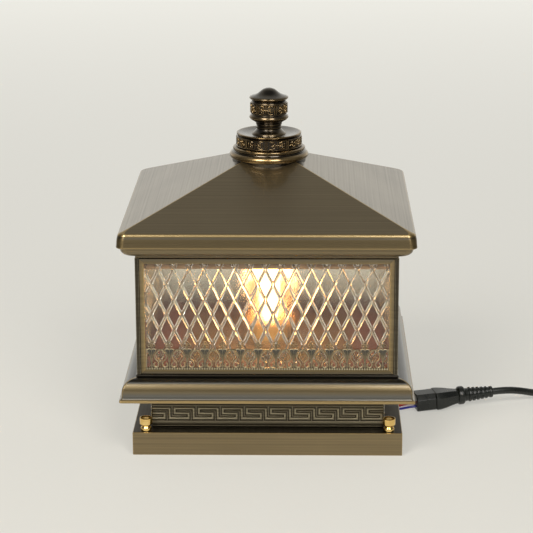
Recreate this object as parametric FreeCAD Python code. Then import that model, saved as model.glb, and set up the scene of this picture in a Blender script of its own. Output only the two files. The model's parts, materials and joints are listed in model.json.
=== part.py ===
import FreeCAD, Part
import math
import os

# Square pillar light on a low base box, with its mains lead.
# Millimetres. The origin is the centre of the base box's underside, +Z is up and the front faces -Y.

V = FreeCAD.Vector
UP = V(0, 0, 1)

# One overrun for every cut
over = 2.0

# Half the body's width, which every other half width follows
body_half = 120.0

# Base box and the plate that it covers
box_step = 5.0
box_half = body_half + box_step
box_height = 22.0
box_wall = 1.2
box_hole_r = 48.0
plate_edge_gap = 1.6
plate_thick = 2.0
plate_cable_hole_r = 20.0
plate_notch_depth = 24.0
plate_notch_gap = 0.5
anchor_spacing = 160.0
anchor_hole_r = 5.25
stud_side_inset = 12.3
stud_front_inset = 7.7
stud_x = box_half - stud_side_inset
stud_y = box_half - stud_front_inset
stud_r = 3.0
stud_length = 29.0
stud_hole_gap = 0.4

# Brass nuts on the studs
nut_r = 5.45
nut_height = 12.5
nut_foot_r = 4.9
nut_foot_top_r = 4.55
nut_foot_height = 3.5
nut_neck_r = 4.1
nut_neck_height = 1.7
nut_edge = 0.5
nut_bore_gap = 0.05
nut_counterbore_r = 3.9
nut_counterbore_depth = 5.0

# Plinth and the four key-pattern bands round it
plinth_inset = 12.7
plinth_half = body_half - plinth_inset
plinth_wall = 1.5
plinth_height = 32.0
band_height = 22.2
band_lift = 0.2
band_back = 0.7
band_relief = 0.8
strip_low = 1.8
strip_height = 4.0
key_low = 7.1
key_height = 11.7
key_line = 1.8
key_pitch = 22.45
key_middle = -1.6
top_line_low = 20.1
top_line_height = 1.2
key_x_shares = (0, 0, 0.794, 0.794, 0.214, 0.214)
key_z_shares = (1, 0, 0, 0.5, 0.5, 1)

# Moulded tray between the plinth and the body
lip_step = 15.8
lip_half = body_half + lip_step
lip_height = 2.9
cove_step = 2.4
cove_height = 3.6
fillet_low = 3.2
ovolo_r = 10.8
moulding_wall = 1.3
moulding_ledge = 9.3
moulding_hole_half = plinth_half - moulding_ledge

# Floor pan of the body
pan_step = 1.0
pan_half = body_half + pan_step
pan_ledge = 17.0
moulding_top_half = pan_half - pan_ledge
pan_rim = 2.7
pan_thick = 1.2
pan_hole_r = 22.6

# Body: posts, window frames, glass and the cast strips at the foot of the glass
post_strip = 3.5
post_depth = 6.5
post_flange = 1.5
post_flange_reach = 1.5
frame_setback = 0.8
frame_thick = 1.2
frame_side = 4.5
frame_foot = 4.1
frame_head = 5.2
frame_lift = 0.2
frame_head_gap = 0.8
frame_height = 110.2
glass_thick = 3.0
glass_edge_gap = 0.2
glass_foot_gap = 0.3
glass_head_gap = 1.6
panel_rail = 2.0
panel_thick = 1.1
panel_side_gap = 0.3
lyre_count = 14
lyre_end_gap = 5.66
lyre_height = 16.9
mid_rail = 1.1
stem_foot = 2.1
stem_waist = 1.5
leaf_reach = 4.1
leaf_edge = 0.9
lyre_line = 1.2
loop_r = 2.3
loop_out = 4.3
loop_sink = 0.3
lyre_bulge = 5.7
lyre_top = 0.8
fork_line = 1.0
fork_reach = 3.2
petal_r = 1.6
petal_out = 1.9
floret_height = 8.6
waist_share = 0.36
bulge_share = 0.6
fork_low_share = 0.34
fork_high_share = 0.64
leaf_share = 0.72

# Frame over the body, gasket, cross bar and the rod that holds the roof down
top_inset = 0.5
top_half = body_half - top_inset
top_thick = 1.2
top_rim = 2.6
top_ledge = 11.5
top_hole_half = top_half - top_ledge
gasket_width = 6.0
gasket_gap = 0.3
gasket_thick = 2.2
bar_end_inset = 7.0
bar_half_length = body_half - bar_end_inset
bar_width = 18.0
bar_thick = 2.5
rod_r = 3.0
rod_top_depth = 17.0
rod_tail = 2.0
rod_nut_r = 5.77
rod_nut_height = 5.0
rod_hole_gap = 0.4

# Roof
roof_flange_inset = 7.0
roof_flange_half = body_half - roof_flange_inset
under_step = 5.0
under_half = body_half + under_step
under_r = 7.6
fascia_lip = 3.2
fascia_low_half = under_half + under_r + fascia_lip
fascia_mid_in = 0.5
fascia_mid_half = fascia_low_half - fascia_mid_in
fascia_top_in = 1.4
fascia_top_half = fascia_low_half - fascia_top_in
fascia_step = 1.8
fascia_mid = 5.2
fascia_height = 10.2
eave_in = 2.4
eave_half = fascia_top_half - eave_in
eave_rise = 2.8
eave_bulge_out = 0.7
eave_bulge_down = 0.9
roof_slope_share = 0.3976
roof_flat_half = 12.0
roof_wall = 1.4

# Finial: collar, disc and knob
collar_top_r = 32.2
collar_edge_r = 33.0
collar_edge_drop = 0.3
collar_ring_r = 34.5
collar_ring_drop = 1.9
collar_groove_r = 33.6
collar_groove_drop = 3.9
collar_bead_r = 37.7
collar_bead_drop = 8.2
collar_bead_low_drop = 11.4
collar_foot_r = 35.0
collar_foot_drop = 20.0
collar_lift = 5.6
disc_r = 30.3
disc_band = 10.2
disc_groove_r = 29.4
disc_rim_r = 30.7
disc_rim_height = 13.2
disc_dish_r = 18.0
disc_dish_height = 11.6
knob_foot_r = 16.4
knob_waist_r = 11.3
knob_waist_height = 5.6
knob_flare_r = 12.7
knob_flare_height = 3.0
knob_neck_r = 12.2
knob_neck_height = 9.8
knob_torus_low_r = 15.9
knob_torus_low_height = 13.2
knob_torus_r = 18.7
knob_torus_height = 16.0
knob_torus_top_r = 16.6
knob_torus_top_height = 18.4
knob_drum_r = 17.2
knob_drum_low_height = 19.4
knob_drum_top_height = 30.2
knob_throat_r = 15.9
knob_throat_height = 31.6
knob_rim_r = 18.4
knob_rim_low_height = 34.0
knob_rim_top_height = 35.3
knob_shoulder_r = 12.7
knob_shoulder_height = 37.1
knob_crown_r = 7.2
knob_crown_height = 41.2
knob_height = 43.6
knob_crown_bulge_r = 9.5
knob_crown_bulge_height = 39.2
knob_bore_gap = 0.05

# Lamp holder, its bracket and the lamp
bracket_drop = 14.6
bracket_thick = 1.5
bracket_width = 24.0
bracket_half_span = 27.0
bracket_flange = 12.0
bracket_screw_x = 34.5
bracket_screw_r = 2.0
bracket_screw_length = 7.0
bracket_head_r = 3.8
bracket_head_height = 2.0
screw_hole_gap = 0.3
holder_r = 20.0
holder_foot_r = 17.0
holder_height = 33.5
holder_foot_height = 8.0
holder_skirt_r = 21.4
holder_skirt_height = 5.0
holder_floor = 8.5
shell_r = 14.4
shell_wall = 0.5
shell_height = 23.0
shell_gap = 0.1
contact_width = 6.0
contact_length = 16.0
contact_thick = 0.6
contact_gap = 0.3
contact_rise = 3.0
tip_r = 4.5
tip_height = 2.0
insulator_r = 11.0
insulator_height = 3.0
cap_r = 12.9
cap_height = 18.0
cap_thread_pitch = 3.6
cap_thread_r = 13.2
cap_thread_height = 1.6
lamp_neck_r = 12.6
lamp_neck_height = 5.0
lamp_r = 22.5
lamp_centre_height = 32.5
lamp_join_share = 0.72

# Terminal block and its wires
terminal_x = 70.0
terminal_length = 30.0
terminal_width = 22.0
terminal_height = 15.0
terminal_pitch = 7.0
terminal_screw_r = 1.8
terminal_screw_height = 1.0
terminal_screw_inset = 7.0
wire_r = 1.1
lead_r = 1.2
lead_entry_height = 4.0
lead_entry_degrees = 60.0
lead_entry_run = 12.0
lead_entry_gap = 0.05

# Notch in the box's right side and the grommet that lines it
notch_y = 1.6
notch_width = 14.0
notch_height = 8.0
grommet_wall = 1.0
grommet_gap = 0.15
grommet_lip = 1.2

# In-line connector on the lead
connector_yaw = 12.0
connector_pitch = 3.0
connector_at = V(142.5, 5.4, 8.5)
nose_length = 20.0
nose_width = 23.7
nose_height = 16.0
nose_chamfer = 4.6
shoulder_length = 24.0
shoulder_width = 26.6
shoulder_height = 16.4
shoulder_end_width = 14.0
shoulder_end_height = 12.4
shoulder_chamfer_share = 0.28
grip_length = 9.5
grip_r = 9.1
relief_length = 26.0
relief_r = 6.9
relief_end_r = 5.1
relief_ribs = 6
rib_depth = 0.9
rib_width = 1.9

# Mains cable, its coil, tie and plug
cable_d = 7.0
coil_x = 332.0
coil_y = 91.5
coil_r = 49.0
coil_pitch = 7.5
coil_layer = 7.5
tie_thick = 0.8
tie_gap = 0.2
tie_width = 12.0
tie_angle = 38.0
coil_half_turns = 4
tail_length = 84.0
plug_width = 26.0
plug_height = 24.8
plug_length = 34.0
plug_corner = 5.0
plug_relief_length = 24.0
plug_relief_r = 5.6
plug_relief_start_r = 4.6
blade_height = 6.35
blade_thick = 1.5
blade_length = 17.0
blade_spacing = 12.7
ground_r = 2.4
ground_length = 20.0
ground_drop = 8.2

# Levels, from the ground up
z_box = box_height
z_moulding = z_box + plinth_height
z_cove = z_moulding + lip_height
z_fillet = z_cove + cove_height
z_ovolo = z_fillet + fillet_low
z_pan_rim = z_ovolo + ovolo_r
z_pan = z_pan_rim + pan_rim
z_frame = z_pan + frame_lift
z_body_top = z_frame + frame_height + frame_head_gap
z_top_plate = z_body_top + top_thick
z_gasket = z_top_plate + gasket_thick
z_roof = z_gasket
z_under = z_roof + under_r
z_fascia = z_under + fascia_step
z_eave = z_fascia + fascia_height + eave_rise
z_flat = z_eave + (eave_half - roof_flat_half) * roof_slope_share
z_collar_top = z_flat + collar_lift
z_disc = z_collar_top
z_knob = z_disc + disc_dish_height
z_bar = z_body_top - bar_thick
z_bracket = z_pan - pan_thick - bracket_drop
z_lamp_tip = z_bracket + bracket_thick + holder_floor + contact_rise + contact_thick + contact_gap

# Depths below the body's outer faces
frame_front = frame_setback
frame_back = frame_setback + frame_thick
frame_half = body_half - post_strip
opening_half = frame_half - frame_side
lyre_pitch = 2 * (opening_half - lyre_end_gap) / (lyre_count - 1)
cable_r = cable_d / 2


def block(x0, x1, y0, y1, z0, z1):
    """A box between three pairs of faces."""
    return Part.makeBox(x1 - x0, y1 - y0, z1 - z0, V(x0, y0, z0))


def square_block(half, z0, z1):
    """A square slab centred on the axis."""
    return block(-half, half, -half, half, z0, z1)


def rod(radius, height, at, direction=UP):
    """A cylinder that stands on a point."""
    return Part.makeCylinder(radius, height, at, direction)


def ends_of(item):
    """The end point of an outline item, which is a point or an arc's (middle, end)."""
    return item[1] if isinstance(item[0], tuple) else item


def outline(points, place):
    """A closed wire of lines and arcs through an outline's items."""
    edges = []
    last = points[0]
    for item in list(points[1:]) + [points[0]]:
        end = ends_of(item)
        if isinstance(item[0], tuple):
            edges.append(Part.Arc(place(last), place(item[0]), place(end)).toShape())
        elif end != last:
            edges.append(Part.LineSegment(place(last), place(end)).toShape())
        last = end
    return Part.Wire(edges)


def turned(points):
    """A solid of revolution from an outline of (radius, height) items."""
    face = Part.Face(outline(points, lambda p: V(p[0], 0, p[1])))
    return face.revolve(V(0, 0, 0), UP, 360)


def mirrored(points):
    """The outline's items with their reflection in the axis, in one closed round."""
    flipped = []
    for index in range(len(points) - 1, 0, -1):
        item = points[index]
        x, z = ends_of(points[index - 1])
        if isinstance(item[0], tuple):
            flipped.append(((-item[0][0], item[0][1]), (-x, z)))
        else:
            flipped.append((-x, z))
    x, z = ends_of(points[-1])
    return list(points) + [(-x, z)] + flipped


def four_sided(points):
    """A mitred solid whose four sides all follow one outline of (half width, height) items."""
    reach = 2 * lip_half
    wire = outline(mirrored(points), lambda p: V(p[0], -reach, p[1]))
    along_y = Part.Face(wire).extrude(V(0, 2 * reach, 0))
    along_x = along_y.copy()
    along_x.rotate(V(0, 0, 0), UP, 90)
    return along_y.common(along_x).removeSplitter()


def turned_about(shape, degrees):
    """A copy turned about the upright axis."""
    copy = shape.copy()
    copy.rotate(V(0, 0, 0), UP, degrees)
    return copy


def save(name, shape):
    """Write one node, after a look at its validity and its number of solids."""
    if not shape.isValid():
        print("not valid:", name)
    solids = len(shape.Solids)
    volume = shape.Volume
    print(name, "solids", solids, "volume", round(volume, 1))
    shape.exportStep("parts/%s.step" % name)


def studs_at():
    """The four places of the studs."""
    return [(sx * stud_x, sy * stud_y) for sy in (-1, 1) for sx in (-1, 1)]


def mounting_plate():
    """The fixing plate with its four weld studs, four anchor holes and a cable hole."""
    plate = square_block(box_half - plate_edge_gap, 0, plate_thick)
    holes = [rod(plate_cable_hole_r, plate_thick + 2 * over, V(0, 0, -over))]
    for sx in (-1, 1):
        for sy in (-1, 1):
            at = V(sx * anchor_spacing / 2, sy * anchor_spacing / 2, -over)
            holes.append(rod(anchor_hole_r, plate_thick + 2 * over, at))
    outer = box_half - plate_edge_gap
    inner = outer - plate_notch_depth
    side = notch_width / 2 + grommet_lip + plate_notch_gap
    low = notch_y - side
    holes.append(block(inner, outer + over, low, low + 2 * side, -over, plate_thick + over))
    studs = [rod(stud_r, plate_thick + stud_length, V(x, y, 0)) for x, y in studs_at()]
    return plate.cut(Part.makeCompound(holes)).fuse(studs).removeSplitter()


def base_box():
    """An inverted tray with holes for the studs and the lead, and a notch in its right side."""
    shell = square_block(box_half, 0, box_height)
    shell = shell.cut(square_block(box_half - box_wall, -over, box_height - box_wall))
    deep = box_wall + 2 * over
    under = box_height - box_wall - over
    holes = [rod(box_hole_r, deep, V(0, 0, under))]
    for x, y in studs_at():
        holes.append(rod(stud_r + stud_hole_gap, deep, V(x, y, under)))
    inside = box_half - box_wall - over
    low = notch_y - notch_width / 2
    holes.append(block(inside, box_half + over, low, low + notch_width, -over, notch_height))
    return shell.cut(Part.makeCompound(holes))


def cable_grommet():
    """A rubber arch that lines the notch, with a lip on each side of the wall."""
    outer = notch_width / 2 - grommet_gap
    top = notch_height - grommet_gap
    inside = box_half - box_wall - grommet_gap - grommet_lip
    outside = box_half + grommet_gap + grommet_lip
    body = block(inside, outside, notch_y - outer, notch_y + outer, 0, top)
    wide = outer + grommet_lip
    lips = []
    for x0 in (inside, box_half + grommet_gap):
        lips.append(block(x0, x0 + grommet_lip, notch_y - wide, notch_y + wide, 0, top + grommet_lip))
    body = body.fuse(lips)
    inner = outer - grommet_wall
    low = notch_y - inner
    tunnel = block(inside - over, outside + over, low, low + 2 * inner, -over, top - grommet_wall)
    return body.cut(tunnel).removeSplitter()


def nut(x, y):
    """A turned brass nut with a counterbored head, standing on the box."""
    z = z_box
    neck = nut_foot_height + nut_neck_height / 2
    head = nut_foot_height + nut_neck_height
    bore = stud_r + nut_bore_gap
    floor = nut_height - nut_counterbore_depth
    shape = turned([
        (bore, z),
        (nut_foot_r, z),
        (nut_foot_top_r, z + nut_foot_height),
        (nut_neck_r, z + neck),
        (nut_r, z + head),
        (nut_r, z + nut_height - nut_edge),
        (nut_r - nut_edge, z + nut_height),
        (nut_counterbore_r, z + nut_height),
        (nut_counterbore_r, z + floor),
        (bore, z + floor),
    ])
    shape.translate(V(x, y, 0))
    return shape


def plinth():
    """A square tube on the box."""
    tube = square_block(plinth_half, z_box, z_moulding)
    return tube.cut(square_block(plinth_half - plinth_wall, z_box - over, z_moulding + over))


def ribbon(points, width):
    """The closed outline of a right-angled line of one width, with mitred corners."""
    left = []
    right = []
    half = width / 2
    for index, (x, z) in enumerate(points):
        before = points[max(index - 1, 0)]
        after = points[min(index + 1, len(points) - 1)]
        steps = []
        for start, end in ((before, (x, z)), ((x, z), after)):
            dx = end[0] - start[0]
            dz = end[1] - start[1]
            if dx or dz:
                steps.append(((dx > 0) - (dx < 0), (dz > 0) - (dz < 0)))
        side_x = -steps[0][1] if steps[0][1] else -steps[-1][1]
        side_z = steps[0][0] if steps[0][0] else steps[-1][0]
        left.append((x + side_x * half, z + side_z * half))
        right.append((x - side_x * half, z - side_z * half))
    return left + right[::-1]


def key_line_points(half):
    """The centre line of the key pattern, from beyond one end of a band to beyond the other."""
    low = z_box + band_lift + key_low + key_line / 2
    rise = key_height - key_line
    count = math.ceil(half / key_pitch) + 1
    points = []
    for step in range(-count, count):
        for x_share, z_share in zip(key_x_shares, key_z_shares):
            points.append((key_middle + (step + x_share) * key_pitch, low + z_share * rise))
    return points


def key_band():
    """The front band: a backing strip with a raised border, key pattern and top line."""
    back_y = -plinth_half
    face_y = back_y - band_back
    front_y = face_y - band_relief
    z0 = z_box + band_lift
    half = plinth_half
    back = block(-half, half, face_y, back_y, z0, z0 + band_height)
    low = block(-half, half, front_y, face_y, z0 + strip_low, z0 + strip_low + strip_height)
    top = block(-half, half, front_y, face_y, z0 + top_line_low, z0 + top_line_low + top_line_height)
    wire = outline(ribbon(key_line_points(half), key_line), lambda p: V(p[0], face_y, p[1]))
    keys = Part.Face(wire).extrude(V(0, front_y - face_y, 0))
    keys = keys.common(block(-half, half, front_y, face_y, z0, z0 + band_height))
    return back.fuse([low, top, keys]).removeSplitter()


def moulding_outline(inset):
    """The tray's outline, moved inwards by an inset."""
    lip = lip_half - inset
    neck = lip_half - cove_step - inset
    centre = lip_half - cove_step - ovolo_r
    radius = ovolo_r - inset
    slant = math.sqrt(0.5)
    return [
        (0, z_moulding + inset),
        (lip, z_moulding + inset),
        (lip, z_cove - inset / 2),
        (neck, z_fillet),
        (neck, z_ovolo),
        ((centre + radius * slant, z_ovolo + radius * slant), (centre, z_ovolo + radius)),
        (0, z_ovolo + radius),
    ]


def moulding():
    """The moulded tray, open through its middle."""
    shell = four_sided(moulding_outline(0)).cut(four_sided(moulding_outline(moulding_wall)))
    shell = shell.cut(square_block(moulding_hole_half, z_moulding - over, z_moulding + moulding_wall + over))
    return shell.cut(square_block(moulding_top_half, z_pan_rim - moulding_wall - over, z_pan_rim + over))


def floor_pan():
    """The pan under the glass, with a turned-down rim, the holder's hole and two screw holes."""
    pan = square_block(pan_half, z_pan_rim, z_pan)
    pan = pan.cut(square_block(pan_half - pan_thick, z_pan_rim - over, z_pan - pan_thick))
    holes = [rod(pan_hole_r, 2 * over + pan_thick, V(0, 0, z_pan - pan_thick - over))]
    for side in (-1, 1):
        at = V(side * bracket_screw_x, 0, z_pan - pan_thick - over)
        holes.append(rod(bracket_screw_r + screw_hole_gap, 2 * over + pan_thick, at))
    return pan.cut(Part.makeCompound(holes))


def corner_post():
    """The front left post: a channelled section that takes a frame and a pane on two sides."""
    edge = post_strip
    deep = post_depth
    reach = post_depth + post_flange_reach
    inner = post_depth - post_flange
    section = [
        (0, 0), (edge, 0), (edge, frame_back), (deep, frame_back), (deep, inner), (reach, inner),
        (reach, deep), (deep, deep), (deep, reach), (inner, reach), (inner, deep), (frame_back, deep),
        (frame_back, edge), (0, edge),
    ]
    wire = outline(section, lambda p: V(p[0] - body_half, p[1] - body_half, z_pan))
    return Part.Face(wire).extrude(V(0, 0, z_body_top - z_pan))


def window_frame():
    """The front window frame."""
    gap = glass_edge_gap / 2
    front = -body_half + frame_front
    back = -body_half + frame_back
    top = z_frame + frame_height
    outer = block(-frame_half + gap, frame_half - gap, front, back, z_frame, top)
    foot = z_frame + frame_foot
    inner = block(-opening_half, opening_half, front - over, back + over, foot, top - frame_head)
    return outer.cut(inner)


def glass_pane():
    """The front pane, which slides down between the frame and the posts' flanges."""
    half = body_half - post_depth - glass_edge_gap
    front = -body_half + frame_back
    return block(-half, half, front, front + glass_thick, z_pan + glass_foot_gap, z_body_top - glass_head_gap)


def plate_of(points):
    """A flat plate of the cast strip's thickness, from an outline in its face."""
    wire = outline(points, lambda p: V(p[0], 0, p[1]))
    return Part.Face(wire).extrude(V(0, -panel_thick, 0))


def bar_along(points, line):
    """A flat bar of one width along an open line of straight and arc items, with round ends."""
    edges = []
    last = points[0]
    for item in points[1:]:
        end = ends_of(item)
        start_at = V(last[0], 0, last[1])
        end_at = V(end[0], 0, end[1])
        if isinstance(item[0], tuple):
            edges.append(Part.Arc(start_at, V(item[0][0], 0, item[0][1]), end_at).toShape())
        else:
            edges.append(Part.LineSegment(start_at, end_at).toShape())
        last = end
    round_it = Part.Wire(edges).makeOffset2D(line / 2, 0, False, False, False)
    return Part.Face(round_it).extrude(V(0, -panel_thick, 0))


def straight_bar(start, end, line):
    """A flat straight bar of one width between two points."""
    run = math.hypot(end[0] - start[0], end[1] - start[1])
    across = (line / 2 * (end[1] - start[1]) / run, -line / 2 * (end[0] - start[0]) / run)
    return plate_of([
        (start[0] - across[0], start[1] - across[1]),
        (start[0] + across[0], start[1] + across[1]),
        (end[0] + across[0], end[1] + across[1]),
        (end[0] - across[0], end[1] - across[1]),
    ])


def ring_at(x, z, radius, line):
    """A flat ring of the cast strip."""
    at = V(x, 0, z)
    front = V(0, -1, 0)
    outer = rod(radius + line / 2, panel_thick, at, front)
    return outer.cut(rod(radius - line / 2, panel_thick, at, front))


def stem(x):
    """A stem that opens into two leaves, with a floret on its top."""
    top = lyre_height
    waist = top * waist_share
    leaf = top * leaf_share
    half = stem_waist / 2
    shape = plate_of([
        (x - stem_foot / 2, 0),
        (x + stem_foot / 2, 0),
        (x + half, waist),
        ((x + 2 * half, leaf), (x + leaf_reach, top - leaf_edge)),
        (x + leaf_reach, top + leaf_edge),
        (x - leaf_reach, top + leaf_edge),
        (x - leaf_reach, top - leaf_edge),
        ((x - 2 * half, leaf), (x - half, waist)),
    ])
    petals = [(0, floret_height - petal_r), (-petal_out, floret_height / 2), (petal_out, floret_height / 2)]
    parts = [block(x - half, x + half, -panel_thick, 0, top, top + floret_height - petal_r)]
    for dx, dz in petals:
        parts.append(rod(petal_r, panel_thick, V(x + dx, 0, top + dz), V(0, -1, 0)))
    return [shape] + parts


def lyre(x):
    """Two S-shaped arms between two stems, each ending in a loop, round a small fork."""
    top = lyre_height
    bulge = top * bulge_share
    loop_z = loop_r + lyre_line / 2 - loop_sink
    pieces = []
    for side in (-1, 1):
        waist_u = loop_out - loop_r
        arm = [
            (x + side * lyre_top, top),
            ((x + side * lyre_bulge, bulge), (x + side * waist_u, loop_z + lyre_line)),
        ]
        pieces.append(bar_along(arm, lyre_line))
        pieces.append(ring_at(x + side * loop_out, loop_z, loop_r, lyre_line))
        fork_end = (x + side * fork_reach, top * fork_high_share)
        pieces.append(straight_bar((x, top * fork_low_share), fork_end, fork_line))
    pieces.append(block(x - fork_line / 2, x + fork_line / 2, -panel_thick, 0, 0, top * fork_low_share))
    return pieces


def cast_strip():
    """The openwork strip in front of the foot of the front pane."""
    half = opening_half - panel_side_gap
    foot = block(-half, half, -panel_thick, 0, -panel_rail, 0)
    rail_top = lyre_height + mid_rail
    rail = block(-half, half, -panel_thick, 0, lyre_height, rail_top)
    steps = []
    for index in range(lyre_count):
        steps += stem((index - (lyre_count - 1) / 2) * lyre_pitch)
    for index in range(1, lyre_count):
        steps += lyre((index - lyre_count / 2) * lyre_pitch)
    strip = foot.fuse([rail] + steps).removeSplitter()
    strip.translate(V(0, -body_half + frame_back, z_frame + frame_foot + panel_rail))
    return strip


def top_frame():
    """The square frame over the posts, with a raised rim."""
    ring = square_block(top_half, z_body_top, z_body_top + top_rim)
    ring = ring.cut(square_block(top_half - top_thick, z_top_plate, z_body_top + top_rim + over))
    return ring.cut(square_block(top_hole_half, z_body_top - over, z_top_plate + over))


def roof_gasket():
    """The square gasket inside the rim, which the roof rests on."""
    half = top_half - top_thick - gasket_gap
    ring = square_block(half, z_top_plate, z_gasket)
    return ring.cut(square_block(half - gasket_width, z_top_plate - over, z_gasket + over))


def cross_bar():
    """The flat bar under the top frame."""
    bar = block(-bar_half_length, bar_half_length, -bar_width / 2, bar_width / 2, z_bar, z_body_top)
    return bar.cut(rod(rod_r + rod_hole_gap, bar_thick + 2 * over, V(0, 0, z_bar - over)))


def tie_rod():
    """The threaded rod from the bar up into the knob."""
    low = z_bar - rod_nut_height - rod_tail
    high = z_knob + knob_height - rod_top_depth
    return rod(rod_r, high - low, V(0, 0, low))


def rod_nuts():
    """Two hexagon nuts, one on each side of the bar."""
    corners = []
    for index in range(6):
        angle = index * math.pi / 3
        corners.append((rod_nut_r * math.cos(angle), rod_nut_r * math.sin(angle)))
    nuts = []
    for z in (z_bar - rod_nut_height, z_body_top):
        hexagon = Part.Face(outline(corners, lambda p: V(p[0], p[1], z)))
        hole = rod(rod_r, rod_nut_height + 2 * over, V(0, 0, z - over))
        nuts.append(hexagon.extrude(V(0, 0, rod_nut_height)).cut(hole))
    return Part.makeCompound(nuts)


def roof_outline(inset):
    """The roof's outline, moved inwards by an inset."""
    slant = math.sqrt(0.5)
    under = under_r - inset
    tip_z = z_eave + eave_half * roof_slope_share - inset / math.cos(math.atan(roof_slope_share))
    top = fascia_top_half - inset
    eave = eave_half - inset
    eave_z = tip_z - eave * roof_slope_share
    return [
        (0, z_roof + inset),
        (under_half, z_roof + inset),
        ((under_half + under * slant, z_under - under * slant), (under_half + under, z_under)),
        (fascia_low_half - inset, z_fascia + inset / 2),
        ((fascia_mid_half - inset, z_fascia + fascia_mid), (top, z_fascia + fascia_height)),
        ((top - eave_bulge_out, eave_z - eave_bulge_down), (eave, eave_z)),
        (0, tip_z),
    ]


def above_the_flat():
    """The tip of the pyramid, which the flat cuts off."""
    return square_block(roof_flat_half + over, z_flat, z_flat + roof_flat_half * roof_slope_share + over)


def whole_roof():
    """The hollow roof, flat at the tip and open below inside its turned-in flange."""
    shell = four_sided(roof_outline(0)).cut(four_sided(roof_outline(roof_wall)))
    shell = shell.cut(square_block(roof_flange_half, z_roof - over, z_roof + roof_wall + over))
    shell = shell.cut(above_the_flat())
    lid = square_block(roof_flat_half - roof_wall, z_flat - roof_wall, z_flat)
    shell = shell.fuse(lid).removeSplitter()
    return shell.cut(rod(rod_r + rod_hole_gap, roof_wall + 2 * over, V(0, 0, z_flat - roof_wall - over)))


def roof_shell():
    """The four slopes, down to the eave."""
    return whole_roof().common(square_block(lip_half, z_eave, z_flat))


def roof_fascia():
    """The moulded edge under the slopes, with the flange that rests on the gasket."""
    return whole_roof().common(square_block(lip_half, z_roof, z_eave))


def finial_collar():
    """The collar that sits over the roof's tip, cut to the four slopes."""
    top = z_collar_top
    bore = rod_r + rod_hole_gap
    shape = turned([
        (bore, z_flat - collar_foot_drop),
        (collar_foot_r, z_flat - collar_foot_drop),
        (collar_foot_r, top - collar_bead_low_drop),
        ((collar_bead_r, top - collar_bead_drop), (collar_groove_r, top - collar_groove_drop)),
        ((collar_ring_r, top - collar_ring_drop), (collar_edge_r, top - collar_edge_drop)),
        (collar_top_r, top),
        (bore, top),
    ])
    return shape.cut(roof_block())


def roof_block():
    """The roof's outside as a solid, up to the flat tip."""
    return four_sided(roof_outline(0)).cut(above_the_flat())


def finial_disc():
    """The disc with its patterned band and dished top."""
    z = z_disc
    bore = rod_r + rod_hole_gap
    return turned([
        (bore, z),
        (disc_r, z),
        (disc_r, z + disc_band),
        (disc_groove_r, z + disc_band),
        (disc_groove_r, z + (disc_band + disc_dish_height) / 2),
        ((disc_rim_r, z + (disc_dish_height + disc_rim_height) / 2), (disc_groove_r, z + disc_rim_height)),
        (disc_dish_r, z + disc_dish_height),
        (bore, z + disc_dish_height),
    ])


def finial_knob():
    """The turned knob that screws down on the rod."""
    z = z_knob
    bore = rod_r + knob_bore_gap
    bore_top = knob_height - rod_top_depth + over
    crown_drop = knob_height - knob_crown_height
    dome_r = (knob_crown_r ** 2 + crown_drop ** 2) / (2 * crown_drop)
    half_angle = math.asin(knob_crown_r / dome_r) / 2
    dome_middle = (dome_r * math.sin(half_angle), z + knob_height - dome_r * (1 - math.cos(half_angle)))
    return turned([
        (bore, z),
        (knob_foot_r, z),
        ((knob_flare_r, z + knob_flare_height), (knob_waist_r, z + knob_waist_height)),
        (knob_neck_r, z + knob_neck_height),
        (knob_torus_low_r, z + knob_torus_low_height),
        ((knob_torus_r, z + knob_torus_height), (knob_torus_top_r, z + knob_torus_top_height)),
        (knob_drum_r, z + knob_drum_low_height),
        (knob_drum_r, z + knob_drum_top_height),
        (knob_throat_r, z + knob_throat_height),
        (knob_rim_r, z + knob_rim_low_height),
        (knob_rim_r, z + knob_rim_top_height),
        (knob_shoulder_r, z + knob_shoulder_height),
        ((knob_crown_bulge_r, z + knob_crown_bulge_height), (knob_crown_r, z + knob_crown_height)),
        (dome_middle, (0, z + knob_height)),
        (0, z + bore_top),
        (bore, z + bore_top),
    ])


def holder_bracket():
    """The strap that hangs the lamp holder under the pan."""
    top = z_pan - pan_thick
    half = bracket_half_span
    width = bracket_width / 2
    pieces = [block(-half, half, -width, width, z_bracket, z_bracket + bracket_thick)]
    for side in (-1, 1):
        x0 = min(side * half, side * (half - bracket_thick))
        pieces.append(block(x0, x0 + bracket_thick, -width, width, z_bracket, top))
        x1 = min(side * (half - bracket_thick), side * (half + bracket_flange))
        flange = block(x1, x1 + bracket_flange + bracket_thick, -width, width, top - bracket_thick, top)
        at = V(side * bracket_screw_x, 0, top - bracket_thick - over)
        pieces.append(flange.cut(rod(bracket_screw_r + screw_hole_gap, bracket_thick + 2 * over, at)))
    return pieces[0].fuse(pieces[1:]).removeSplitter()


def bracket_screws():
    """Two screws through the pan into the bracket's flanges."""
    screws = []
    for side in (-1, 1):
        at = V(side * bracket_screw_x, 0, z_pan)
        shank = rod(bracket_screw_r, bracket_screw_length, at - V(0, 0, bracket_screw_length))
        screws.append(shank.fuse(rod(bracket_head_r, bracket_head_height, at)).removeSplitter())
    return Part.makeCompound(screws)


def lampholder_body():
    """The ceramic holder on the bracket."""
    z = z_bracket + bracket_thick
    bore = shell_r + shell_gap
    rim = z + holder_height
    return turned([
        (0, z),
        (holder_foot_r, z),
        (holder_r, z + holder_foot_height),
        (holder_r, rim - holder_skirt_height),
        (holder_skirt_r, rim - holder_skirt_height),
        (holder_skirt_r, rim),
        (bore, rim),
        (bore, z + holder_floor),
        (0, z + holder_floor),
    ])


def lampholder_shell():
    """The threaded sleeve in the holder."""
    z = z_bracket + bracket_thick + holder_floor
    outer = rod(shell_r, shell_height, V(0, 0, z))
    return outer.cut(rod(shell_r - shell_wall, shell_height + 2 * over, V(0, 0, z - over)))


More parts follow.
